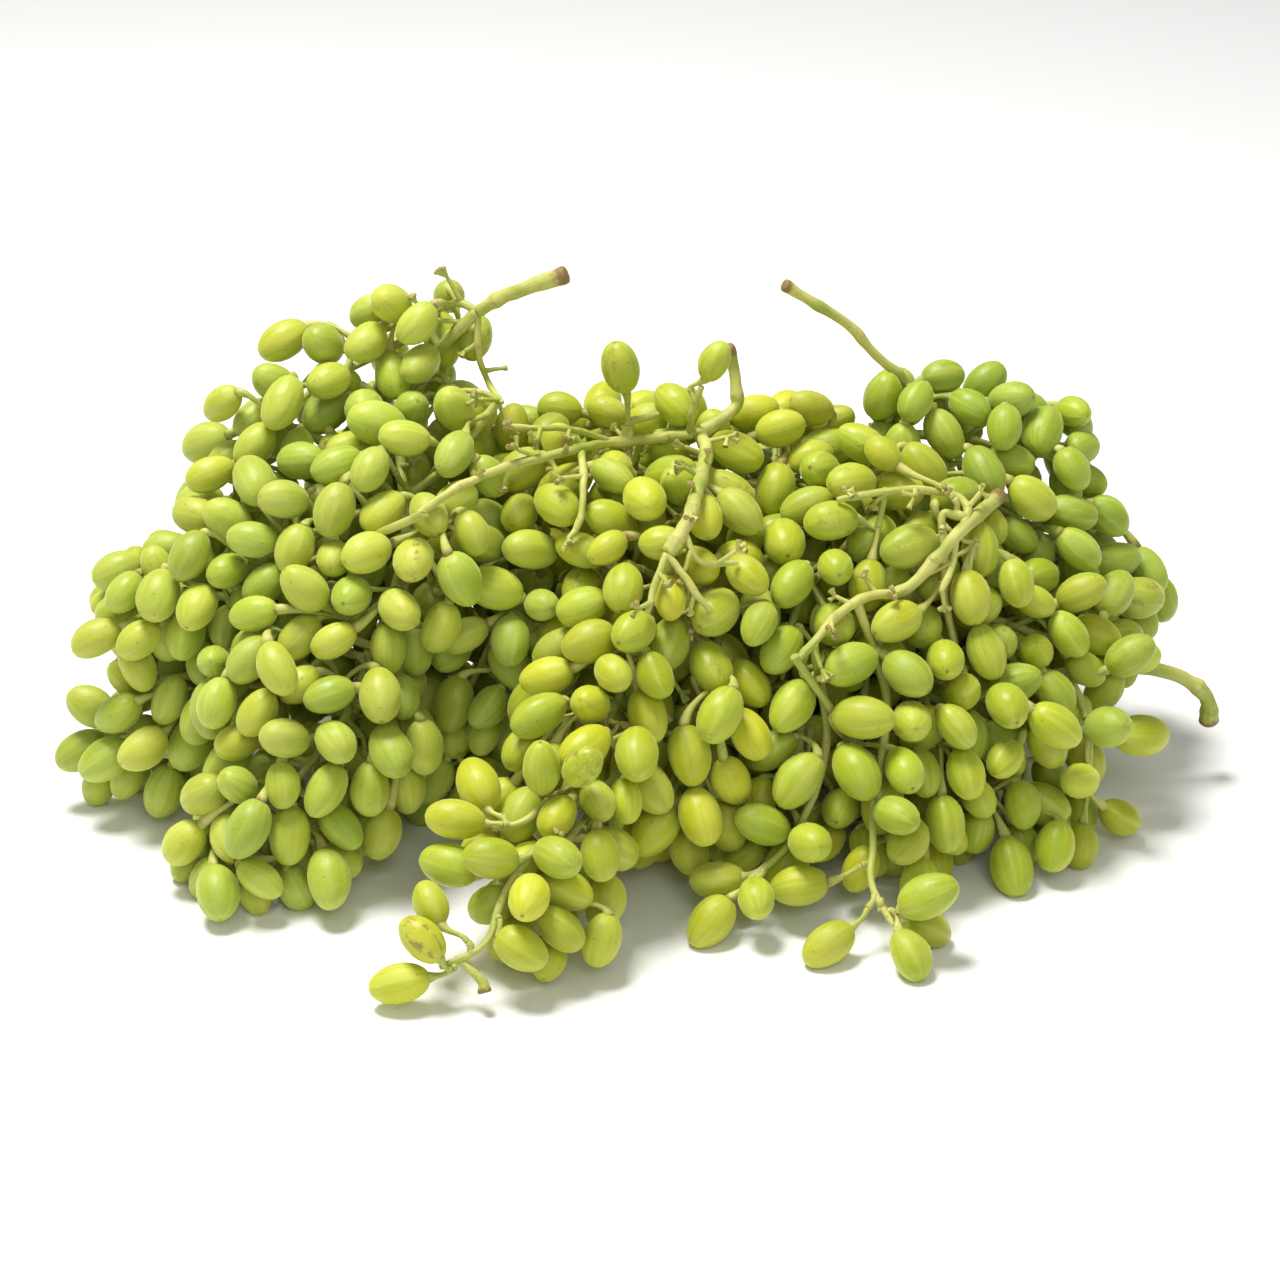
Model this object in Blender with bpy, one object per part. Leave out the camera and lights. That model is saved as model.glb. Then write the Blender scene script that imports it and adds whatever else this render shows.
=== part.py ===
"""A heap of green table grapes lying on a flat surface: five bunches that have grown and been laid into one
another. Each bunch has one branching stem. From it grow shoulders, and each shoulder is a thin side stem with
the berries that hang on it. Metres, +Z up. The heap rests on z = 0, on the berries that it presses flat."""

import math

import bmesh
import bpy
import numpy as np

# Driving dimensions
BERRY_HALF_LENGTH = 0.0083
BERRY_HALF_WIDTH = 0.0061
BERRY_SPACING = 0.0147  # from one berry to the next on a shoulder's outside
SIZE_SPREAD = 0.075  # share by which berries differ in size
GAP = 0.0003  # kept between any two solids
PRESS = 0.0009  # how far a lowest berry is pressed flat on the surface
STALK_RADIUS = 0.0008  # of one berry's own stalk
SIDE_STEM_RADIUS = 0.0012
COLLAR_SPACING = 0.007  # between the places on a side stem where stalks grow
COLLAR_HALF_HEIGHT = 0.0008
SIDE_STEM_SIDES = 5
STEM_SIDES = 6
STEM_RING_SPACING = 0.009
STEM_END_MARGIN = 0.002  # from a side stem's end to its last collar
MOST_BACKWARDS = -0.2  # cosine of the sharpest bend where a side stem leaves the bunch's stem
BERRIES_IN_CAD = 350  # the outermost ones; the rest of the filling is left to the fine model
SEED = 7
HEAP_MIDDLE = (0.0027, -0.0095)  # of the heap's outline, in the numbers of the lists below; it becomes the origin
GOLDEN_ANGLE = math.pi * (3 - math.sqrt(5))

# Setting out the berries of a shoulder
LEAN_OUTWARDS, LEAN_ALONG, LEAN_DOWN, LEAN_CHANCE = 0.45, 0.5, 0.45, 0.5  # shares of a long axis's direction
LEAST_OUTWARDS = 0.12  # cosine between a berry's long axis and the way outwards
SCATTER = 0.0012  # by which chance moves a berry
END_CAP = 0.97  # how far round a shoulder's rounded end the last berries go, as a sine
BURIED = 0.008  # a berry deeper than this inside another shoulder isn't made
LOWEST_MIDDLE = -0.002  # nor one whose middle starts lower than this

# Settling them
SETTLE_STEPS = 160
BERRY_PUSH, STEM_PUSH = 0.38, 0.3  # share of an overlap that one step takes away
SPRAY_HOLD = 0.15  # share of its push by which a spray's berry moves
HOME_PULL = 0.02  # share of the way back to its first place, in the first step
MOST_MOVE = 0.0015  # in one step
BERRY_REACH, STEM_REACH = 0.024, 0.016  # how near a berry's neighbours are looked for

# Choosing the ones made as solids
PRESSED_BERRIES_FIRST = 0.25  # how much sooner a berry that touches the surface is made
SIGHT_LINES = 90  # tried from each berry
HIDING_START, HIDING_WIDTH = 0.8, 1.3  # in half widths: how far ahead, and how far beside, a berry hides another
FACETED_SHARE = 0.97  # of a berry's half width that its neighbours keep clear of, as its facets lie inside it
MOST_TRIES = 24  # of places on its side stem where a stalk is tried
LEAST_FACING = 0.3  # cosine between a stalk face's outward direction and the way to the berry
LINED_UP_GAIN, FACING_GAIN, SHARED_GAIN = 0.008, 0.004, 0.002  # metres of stalk that a better start is worth
SHORTEST_STALK = 0.004
ROOT_LENGTH = 0.0025  # of a stalk's start, which may lie nearer its own side stem
SAME_CORNER = 1e-7


def mm(*points):
    """Points given in millimetres, as metres from the origin."""
    places = np.array(points, float) / 1000
    places[:, :2] -= HEAP_MIDDLE
    return places


# Shoulders full of berries: bunch, the side stem's route, outer radius in mm at its start and end, fullness.
SHOULDERS = {
    "left_top_shoulder": (
        "left",
        mm((-67, 45, 145), (-80, 45, 138), (-101, 40, 128), (-118, 30, 115)),
        16, 15, 0.80,
    ),
    "left_crest": ("left", mm((-74, 45, 120), (-97, 38, 108), (-122, 28, 95)), 24, 22, 0.85),
    "left_upper": ("left", mm((-65, 15, 107), (-95, 5, 97), (-122, 5, 82), (-145, 8, 66)), 31, 20, 0.92),
    "left_wing": ("left", mm((-116, 10, 55), (-139, 8, 39), (-154, 8, 22)), 27, 19, 0.90),
    "left_face": ("left", mm((-64, -5, 90), (-85, -15, 74), (-107, -22, 54)), 30, 28, 0.95),
    "left_low": ("left", mm((-90, -28, 47), (-106, -38, 28), (-114, -45, 11)), 32, 26, 0.95),
    "left_inner": ("left", mm((-43, -2, 78), (-50, 0, 50), (-66, 3, 25)), 28, 24, 0.90),
    "middle_top_left": ("middle", mm((-13, 42, 103), (-41, 32, 100), (-65, 18, 93)), 24, 22, 0.82),
    "middle_top_right": ("middle", mm((0, 45, 96), (25, 40, 95), (51, 45, 96)), 27, 26, 0.90),
    "middle_top": ("middle", mm((-25, 14, 94), (-6, 0, 87)), 28, 28, 0.78),
    "middle_rear": ("middle", mm((-145, 42, 46), (-90, 55, 36), (-30, 62, 34)), 29, 30, 0.85),
    "front_upper": ("middle", mm((9, -8, 91), (0, -25, 72), (-9, -42, 54)), 29, 28, 0.90),
    "front_lower": ("middle", mm((-12, -50, 51), (-22, -65, 39), (-25, -80, 28), (-28, -92, 21)), 27, 18, 0.85),
    "front_side": ("middle", mm((24, -18, 76), (19, -36, 52), (12, -42, 32)), 27, 24, 0.90),
    "centre_upper": ("centre", mm((68, 12, 92), (49, -8, 77), (43, -22, 57)), 27, 27, 0.85),
    "centre_front": ("centre", mm((48, -28, 57), (48, -38, 42), (40, -42, 27)), 26, 22, 0.90),
    "centre_low": ("centre", mm((74, -44, 31), (76, -58, 18)), 17, 15, 0.70),
    "centre_middle": ("centre", mm((71, -8, 64), (66, -40, 39)), 24, 24, 0.90),
    "centre_side": ("centre", mm((90, 8, 80), (89, -14, 53), (84, -32, 28)), 29, 28, 0.90),
    "back_top": ("back", mm((91, 49, 108), (107, 50, 106), (126, 50, 99)), 24, 22, 0.95),
    "back_side": ("back", mm((109, 40, 90), (132, 42, 73), (147, 46, 48)), 27, 22, 0.95),
    "back_crest": ("back", mm((82, 63, 82), (0, 60, 78), (-85, 55, 80)), 24, 24, 0.85),
    "back_rear": ("back", mm((115, 72, 34), (50, 70, 34), (-20, 66, 34)), 30, 30, 0.85),
    "far_upper": ("far", mm((107, 2, 66), (125, 8, 58), (139, 15, 53)), 25, 18, 0.90),
    "far_low": ("far", mm((109, -9, 44), (113, -18, 24), (114, -22, 11)), 28, 26, 0.92),
    "far_underside": ("far", mm((100, 30, 30), (20, 20, 30)), 28, 28, 0.80),
}

# Loose sprays: bunch, the side stem's route, and the middle of each of its few berries.
SPRAYS = {
    "front_tip_spray": (
        "middle",
        mm((-30, -90, 37), (-39, -103, 29), (-44, -113, 19), (-57, -116, 13)),
        mm((-67, -116, 11), (-62, -112, 19), (-60, -102, 26), (-36, -112, 19),
           (-23, -104, 20), (-55, -92, 33), (-39, -98, 34), (-24, -98, 38)),
    ),
    "front_side_spray": (
        "middle",
        mm((-23, -68, 44), (-33, -84, 43), (-43, -84, 40)),
        mm((-53, -84, 42), (-47, -72, 46), (-28, -78, 57), (-17, -84, 61)),
    ),
    "left_lone_spray": ("middle", mm((-3, 26, 122), (1, 27, 123), (6, 28, 124)), mm((-6, 24, 141))),
    "right_lone_spray": (
        "middle",
        mm((15, 26, 120), (16, 24, 126), (19, 24, 135)),
        mm((23, 24, 143), (11, 30, 124)),
    ),
    "centre_drooping_spray": (
        "centre",
        mm((74, -36, 60), (72, -50, 46), (69, -62, 33), (69, -68, 24), (68, -78, 18), (74, -90, 11)),
        mm((55, -92, 6), (78, -98, 4), (84, -88, 18), (47, -72, 16), (84, -84, 4), (75, -68, 35)),
    ),
    "centre_low_spray": (
        "centre",
        mm((56, -42, 52), (54, -50, 40), (50, -56, 31), (43, -64, 22), (32, -72, 16)),
        mm((21, -80, 4), (34, -80, 15), (23, -68, 14), (41, -62, 28), (48, -70, 27)),
    ),
    "centre_hanging_spray": (
        "centre",
        mm((91, -8, 106), (92, -12, 96), (92, -16, 84), (95, -20, 70), (98, -23, 60), (99, -26, 52)),
        mm((84, -16, 97), (98, -32, 58), (74, 8, 117), (74, -30, 80), (86, -36, 48), (100, -34, 44)),
    ),
    "far_outer_spray": (
        "far",
        mm((135, -8, 47), (139, -16, 33), (137, -26, 18)),
        mm((143, -22, 41), (156, -8, 31), (132, -30, 26), (149, -20, 9), (135, -34, 3), (151, -6, 58)),
    ),
    "left_wing_spray": (
        "left",
        mm((-141, -1, 48), (-154, 2, 39), (-167, 4, 24)),
        mm((-171, 4, 35), (-175, 2, 20), (-172, 4, 7), (-155, -4, 28), (-158, 2, 45), (-149, 2, 11)),
    ),
    "left_upper_spray": (
        "left",
        mm((-126, 0, 74), (-139, 2, 76), (-152, 4, 72)),
        mm((-162, 6, 66), (-148, 4, 82), (-138, -6, 64)),
    ),
    "left_shoulder_spray": (
        "left",
        mm((-64, 50, 150), (-76, 51, 145), (-97, 48, 135), (-112, 42, 120)),
        mm((-77, 42, 154), (-98, 42, 142), (-115, 38, 129), (-118, 34, 118), (-127, 32, 111), (-64, 46, 143)),
    ),
}

# Stems of each bunch: the route, then the radius in mm at its start and end. The first one is the cut main stem.
STEMS = {
    "left": {
        "peduncle": (mm((-22, 30, 169), (-34, 32, 164), (-43, 36, 159), (-50, 38, 154)), 2.3, 2.0),
        "main": (
            mm((-50, 38, 154), (-62, 41, 141), (-71, 42, 130), (-75, 40, 120),
               (-74, 24, 107), (-72, 4, 92), (-79, -4, 67), (-88, -20, 49)),
            1.9, 1.3,
        ),
        "top_arm": (mm((-50, 38, 154), (-56, 41, 156), (-64, 43, 152)), 1.2, 1.1),
        "back_arm": (mm((-50, 38, 153), (-50, 36, 142), (-47, 36, 131), (-42, 20, 131)), 1.1, 0.8),
    },
    "middle": {
        "hook": (
            mm((27, 38, 143), (29, 38, 135), (30, 36, 129), (30, 34, 124), (25, 31, 121), (19, 28, 118)),
            1.7, 2.1,
        ),
        "left_arm": (
            mm((19, 28, 118), (5, 25, 117), (-9, 22, 117), (-21, 6, 121),
               (-42, -6, 120), (-56, -18, 118), (-67, -27, 113)),
            1.7, 1.2,
        ),
        "left_fork": (mm((-9, 22, 117), (-21, 13, 125), (-41, 5, 129)), 1.1, 0.9),
        "down_fork": (mm((-18, 10, 120), (-17, -8, 117), (-18, -18, 109), (-23, -22, 100)), 1.2, 0.9),
        "main": (mm((19, 28, 118), (20, 10, 118), (17, -17, 118), (14, -29, 113), (8, -36, 106)), 1.9, 2.2),
        "front_left_fork": (mm((8, -36, 106), (5, -41, 100), (2, -48, 92)), 1.2, 0.9),
        "front_right_fork": (mm((8, -36, 106), (13, -40, 100), (21, -44, 90)), 1.2, 0.9),
        "front_far_fork": (mm((13, -31, 111), (18, -36, 103), (29, -32, 101)), 1.0, 0.8),
        "hidden_run": (
            mm((8, -36, 106), (10, -26, 84), (7, -40, 64), (-3, -55, 50), (-14, -70, 39), (-22, -86, 36)),
            1.8, 1.1,
        ),
    },
    "centre": {
        "main": (
            mm((111, 14, 103), (97, -12, 103), (88, -20, 96), (79, -24, 88),
               (69, -27, 88), (59, -35, 86), (52, -43, 81), (46, -48, 77)),
            2.1, 1.1,
        ),
        "upper_arm": (
            mm((97, -12, 103), (99, -4, 107), (93, -1, 110), (80, -5, 113), (68, -9, 113), (59, -11, 112)),
            1.3, 1.0,
        ),
        "lower_arm": (mm((95, -14, 102), (94, -19, 95), (90, -25, 88)), 1.1, 0.9),
    },
    "back": {
        "main": (
            mm((44, 40, 162), (54, 42, 155), (65, 45, 147), (74, 47, 136),
               (83, 49, 127), (84, 49, 118), (83, 46, 108)),
            1.7, 1.3,
        ),
        "side_arm": (mm((83, 49, 127), (88, 50, 122), (95, 50, 120)), 1.1, 0.9),
    },
    "far": {
        "main": (
            mm((183, 22, 20), (182, 21, 28), (176, 20, 35), (162, 16, 42),
               (145, 12, 44), (134, 8, 45), (122, 0, 45)),
            2.7, 1.7,
        ),
        "lower_arm": (mm((138, 9, 45), (130, 2, 42), (128, -4, 36), (129, -8, 28)), 1.2, 1.0),
    },
}

# The look of each bunch's berries, and of all stems: base colour and roughness.
BERRY_LOOKS = {
    "left": ((0.42, 0.52, 0.12), 0.45),
    "middle": ((0.52, 0.58, 0.09), 0.42),
    "centre": ((0.45, 0.52, 0.08), 0.42),
    "back": ((0.33, 0.45, 0.07), 0.45),
    "far": ((0.40, 0.50, 0.06), 0.42),
}
STEM_LOOK = ((0.62, 0.58, 0.20), 0.6)


def unit(vectors):
    return vectors / np.linalg.norm(vectors, axis=-1, keepdims=True)


def smooth_route(points, count):
    """Catmull-Rom curve through the points, read at equal steps of its parameter."""
    ends = np.vstack([2 * points[0] - points[1], points, 2 * points[-1] - points[-2]])
    spans = len(points) - 1
    along = np.linspace(0, spans, count)
    span = np.minimum(along.astype(int), spans - 1)
    t = (along - span)[:, None]
    before, start, end, after = (ends[span + k] for k in range(4))
    return 0.5 * (
        2 * start
        + (end - before) * t
        + (2 * before - 5 * start + 4 * end - after) * t**2
        + (3 * start - before - 3 * end + after) * t**3
    )


def length_along(route):
    steps = np.linalg.norm(np.diff(route, axis=0), axis=1)
    return np.concatenate([[0], np.cumsum(steps)])


def across_directions(route):
    """Unit tangent of the route, and two unit directions across it."""
    tangent = unit(np.gradient(route, axis=0))
    side = np.cross(tangent, (0.0, 0.0, 1.0))
    steep = np.linalg.norm(side, axis=1) < 0.2
    side[steep] = np.cross(tangent[steep], (0.0, 1.0, 0.0))
    side = unit(side)
    return tangent, side, np.cross(side, tangent)


def parallel_frames(route):
    """Two unit directions across each point of the route, turned as little as possible from one to the next."""
    tangent = unit(np.gradient(route, axis=0))
    first = np.cross(tangent[0], (0.31, 0.17, 0.93))
    sides = [unit(first)]
    for now in tangent[1:]:
        carried = sides[-1] - now * (sides[-1] @ now)
        sides.append(unit(carried))
    sides = np.array(sides)
    return sides, np.cross(tangent, sides)


def spiral_berries(route, radius_start, radius_end, fullness, rng):
    """Berries on the outside of a rounded sleeve round the route, on a golden-angle spiral.

    Gives the middle of each and the direction of its long axis, which leans outwards, along the shoulder and
    down, with some chance."""
    path = smooth_route(route, 40)
    along = length_along(path)
    tangent, side, up = across_directions(path)
    start = radius_start / 1000 - BERRY_HALF_WIDTH
    end = radius_end / 1000 - BERRY_HALF_WIDTH
    middle = (start + end) / 2
    reach = along[-1] + 2 * middle
    count = round(fullness * math.tau * middle * reach / (BERRY_SPACING**2 * math.sqrt(0.75)))
    turn = rng.random() * math.tau
    places, axes = [], []
    for i in range(count):
        at = -middle + reach * (i + 0.5) / count
        on_path = min(max(at, 0.0), along[-1])
        k = min(int(np.searchsorted(along, on_path)), len(path) - 1)
        angle = turn + i * GOLDEN_ANGLE
        over = max(-END_CAP, min(END_CAP, (at - on_path) / middle))
        ring = side[k] * math.cos(angle) + up[k] * math.sin(angle)
        outwards = unit(ring * math.sqrt(1 - over**2) + tangent[k] * over)
        radius = start + (end - start) * on_path / along[-1]
        places.append(path[k] + outwards * radius + rng.normal(0, SCATTER, 3))
        lean = LEAN_OUTWARDS * outwards + LEAN_ALONG * tangent[k] - (0, 0, LEAN_DOWN)
        lean = unit(lean + LEAN_CHANCE * rng.normal(0, 1, 3))
        short = LEAST_OUTWARDS - lean @ outwards
        axes.append(unit(lean + outwards * short) if short > 0 else lean)
    return places, axes


def spray_berries(route, middles):
    """The given berries of a spray, each pointing away from a place a little back along its stem."""
    path = smooth_route(route, 30)
    axes = []
    for middle in middles:
        nearest = int(np.linalg.norm(path - middle, axis=1).argmin())
        axes.append(unit(middle - path[max(0, nearest - 1)]))
    return list(middles), axes


def nearest_points(p, d, half_p, q, e, half_q):
    """The nearest points of pairs of short straight cores, each with a middle, a direction and a half length."""
    between = p - q
    cross = (d * e).sum(1)
    on_d, on_e = (d * between).sum(1), (e * between).sum(1)
    s = np.clip((cross * on_e - on_d) / np.maximum(1 - cross**2, 1e-6), -half_p, half_p)
    t = np.clip(on_e + cross * s, -half_q, half_q)
    s = np.clip(cross * t - on_d, -half_p, half_p)
    return p + d * s[:, None], q + e * t[:, None]


class Taken:
    """The room that solids already hold, as straight cores with a radius and the index of their shoulder."""

    def __init__(self):
        self.rows = np.zeros((0, 9))

    def add(self, start, end, radius, owner=-1):
        middle, half = (start + end) / 2, np.linalg.norm(end - start, axis=-1) / 2
        direction = (end - start) / np.maximum(2 * half, 1e-9)[:, None]
        radii, owners = np.full(len(middle), radius), np.full(len(middle), owner)
        self.rows = np.vstack([self.rows, np.column_stack([middle, direction, half, radii, owners])])

    def add_path(self, route, radius, owner=-1):
        path = smooth_route(route, 24)
        self.add(path[:-1], path[1:], radius, owner)

    def add_stems(self):
        for stems in STEMS.values():
            for route, start, end in stems.values():
                self.add_path(route, np.linspace(start, end, 23) / 1000)

    def clearance(self, start, end, radius, apart_from=None):
        """The least distance left between this core and any held one, apart from one shoulder's."""
        rows = self.rows[self.rows[:, 8] != apart_from]
        middle, half = (start + end) / 2, np.linalg.norm(end - start) / 2
        near = rows[np.linalg.norm(rows[:, :3] - middle, axis=1) < half + rows[:, 6] + radius + 0.01]
        if len(near) == 0:
            return 1.0
        size = len(near)
        direction = (end - start) / max(2 * half, 1e-9)
        a, b = nearest_points(
            np.tile(middle, (size, 1)), np.tile(direction, (size, 1)), np.full(size, half),
            near[:, :3], near[:, 3:6], near[:, 6],
        )
        return (np.linalg.norm(a - b, axis=1) - near[:, 7]).min() - radius


def led_back(route, joint, radius):
    """The route with a new first point just off the stem at the joint."""
    away = np.linalg.norm(route[0] - joint)
    clear = radius + SIDE_STEM_RADIUS + 3 * GAP
    if away > clear + 0.004:
        return np.vstack([joint + unit(route[0] - joint) * clear, route])
    if away < clear:
        return np.vstack([joint + unit(route[1] - joint) * clear, route[1:]])
    return route


def side_stem_routes():
    """Each shoulder's and spray's stem, led back to its bunch's stems by the shortest way that is clear."""
    given = {**SHOULDERS, **SPRAYS}
    taken = Taken()
    taken.add_stems()
    for owner, (_, route, *_) in enumerate(given.values()):
        taken.add_path(route, SIDE_STEM_RADIUS, owner)
    routes = {}
    for owner, (name, (bunch, route, *_)) in enumerate(given.items()):
        path, radii = stem_path(STEMS[bunch])
        onwards = unit(route[1] - route[0])
        between = route[0] - path
        bent_back = MOST_BACKWARDS > between @ onwards / np.linalg.norm(between, axis=1)
        for k in np.argsort(np.linalg.norm(between, axis=1) + bent_back, kind="stable"):
            routes[name] = led_back(route, path[k], radii[k])
            way = smooth_route(routes[name], 16)
            room = [taken.clearance(a, b, SIDE_STEM_RADIUS, apart_from=owner) for a, b in zip(way, way[1:])]
            if min(room) > GAP:
                break
        taken.add_path(routes[name], SIDE_STEM_RADIUS, owner)
    return routes


def stem_path(stems):
    """Points all along a bunch's stems, and the stem's radius at each."""
    points = [smooth_route(route, 50) for route, _, _ in stems.values()]
    radii = [np.linspace(start, end, 50) / 1000 for _, start, end in stems.values()]
    return np.concatenate(points), np.concatenate(radii)


def stem_obstacles(side_routes):
    """Points with a radius all along every stem, which the berries keep clear of."""
    points, radii = map(list, zip(*(stem_path(stems) for stems in STEMS.values())))
    for route in side_routes.values():
        points.append(smooth_route(route, 40))
        radii.append(np.full(40, SIDE_STEM_RADIUS))
    return np.concatenate(points), np.concatenate(radii)


def depth_in_other_shoulders(places, owners):
    """How deep each berry's middle lies inside the nearest other shoulder's outer surface."""
    deepest = np.full(len(places), -1.0)
    for index, (_, route, start, end, _) in enumerate(SHOULDERS.values()):
        path = smooth_route(route, 40)
        radius = np.linspace(start, end, 40) / 1000
        depth = (radius - np.linalg.norm(places[:, None] - path, axis=2)).max(axis=1)
        depth[owners == index] = -1.0
        deepest = np.maximum(deepest, depth)
    return deepest


def summed(index, pushes, count):
    return np.stack([np.bincount(index, pushes[:, k], count) for k in range(3)], axis=1)


def settle(places, axes, half_length, half_width, fixed, obstacles):
    """Moves the berries apart step by step until none presses into another, a stem or the surface."""
    home = places.copy()
    core = half_length - half_width
    count = len(places)
    hold = np.where(fixed, SPRAY_HOLD, 1.0)[:, None]
    stem_points, stem_radii = obstacles
    floor = np.sqrt((half_length * axes[:, 2]) ** 2 + half_width**2 * (1 - axes[:, 2] ** 2)) - PRESS
    for step in range(SETTLE_STEPS):
        if step % 8 == 0:
            near = np.linalg.norm(places[:, None] - places, axis=2) < BERRY_REACH
            i, j = np.nonzero(np.triu(near, 1))
            m, n = np.nonzero(np.linalg.norm(places[:, None] - stem_points, axis=2) < STEM_REACH)
        a, b = nearest_points(places[i], axes[i], core[i], places[j], axes[j], core[j])
        apart = a - b
        distance = np.linalg.norm(apart, axis=1) + 1e-9
        pushed = np.maximum(half_width[i] + half_width[j] + GAP - distance, 0)
        push = apart * (BERRY_PUSH * pushed / distance)[:, None]
        move = summed(i, push, count) - summed(j, push, count)
        on_core = np.clip(((stem_points[n] - places[m]) * axes[m]).sum(1), -core[m], core[m])
        apart = places[m] + axes[m] * on_core[:, None] - stem_points[n]
        distance = np.linalg.norm(apart, axis=1) + 1e-9
        pushed = np.maximum(half_width[m] + stem_radii[n] + GAP - distance, 0)
        move += summed(m, apart * (STEM_PUSH * pushed / distance)[:, None], count)
        size = np.linalg.norm(move, axis=1, keepdims=True)
        move *= np.minimum(1, MOST_MOVE / np.maximum(size, 1e-9))
        places = places + move * hold + (home - places) * HOME_PULL * (1 - step / SETTLE_STEPS)
        places[:, 2] = np.maximum(places[:, 2], floor)
        places = np.round(places, 7)
    return places


def set_out_berries(obstacles):
    """All berries of the heap: middles, axes, half lengths, half widths, and the index of each one's shoulder."""
    rng = np.random.default_rng(SEED)
    places, axes, owners = [], [], []
    for index, (_, route, start, end, fullness) in enumerate(SHOULDERS.values()):
        new_places, new_axes = spiral_berries(route, start, end, fullness, rng)
        places += new_places
        axes += new_axes
        owners += [index] * len(new_places)
    for index, (_, route, middles) in enumerate(SPRAYS.values(), len(SHOULDERS)):
        new_places, new_axes = spray_berries(route, middles)
        places += new_places
        axes += new_axes
        owners += [index] * len(new_places)
    places, axes, owners = np.array(places), np.array(axes), np.array(owners)
    in_spray = owners >= len(SHOULDERS)
    sunk = (depth_in_other_shoulders(places, owners) > BURIED) | (places[:, 2] < LOWEST_MIDDLE)
    kept = in_spray | ~sunk
    places, axes, owners, in_spray = places[kept], axes[kept], owners[kept], in_spray[kept]
    size = rng.normal(1, SIZE_SPREAD, len(places)).clip(0.82, 1.16)
    half_width = BERRY_HALF_WIDTH * size
    half_length = BERRY_HALF_LENGTH * size * rng.normal(1, 0.04, len(places)).clip(0.92, 1.1)
    places, axes = np.round(places, 6), np.round(axes, 6)
    axes = unit(axes)
    places = settle(places, axes, half_length, half_width, in_spray, obstacles)
    return places, axes, half_length, half_width, owners


def openness(places, half_width):
    """The share of directions, from a little below level to straight up, in which no other berry stands before
    each berry."""
    height = np.linspace(-0.2, 1.0, SIGHT_LINES)
    angle = np.arange(SIGHT_LINES) * GOLDEN_ANGLE
    level = np.sqrt(1 - height**2)
    directions = np.stack([level * np.cos(angle), level * np.sin(angle), height], axis=1)
    between = places[None] - places[:, None]
    squared = (between**2).sum(axis=2)
    free = np.zeros(len(places))
    for direction in directions:
        ahead = between @ direction
        beside = squared - ahead**2
        hides = (ahead > half_width[:, None] * HIDING_START) & (beside < (half_width * HIDING_WIDTH) ** 2)
        free += ~hides.any(axis=1)
    return free / SIGHT_LINES


def golden_solid():
    """A unit icosahedron: corners and outward faces."""
    shape = bmesh.new()
    bmesh.ops.create_icosphere(shape, subdivisions=1, radius=1)
    corners = np.array([corner.co for corner in shape.verts])
    faces = np.array([[corner.index for corner in face.verts] for face in shape.faces])
    shape.free()
    return unit(corners), faces


SOLID, SOLID_FACES = golden_solid()


def turned_solid(top, direction):
    """The solid's corners, turned so that its direction top points the given way."""
    side = unit(np.cross(top, (0.36, 0.48, 0.8)))
    new_side = unit(np.cross(direction, (0.6, 0.0, 0.8)))
    own = np.stack([side, np.cross(top, side), top], axis=1)
    return SOLID @ own @ np.stack([new_side, np.cross(direction, new_side), direction])


def berry_corners(berry, stalk_from):
    """A berry's corners and the face its stalk meets: a pressed berry has one corner straight down, any other
    has a face turned to where its stalk comes from."""
    place, axis, half_length, half_width, pressed = berry
    to_stalk = unit(stalk_from - place)
    if pressed:
        turned = turned_solid(SOLID[0], np.array((0.0, 0.0, -1.0)))
    else:
        turned = turned_solid(unit(SOLID[SOLID_FACES[0]].sum(axis=0)), to_stalk)
    stretch = (half_length - half_width) * (turned @ axis)
    corners = place + turned * half_width + stretch[:, None] * axis
    face = int((turned[SOLID_FACES].sum(axis=1) @ to_stalk).argmax())
    return corners, face


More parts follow.
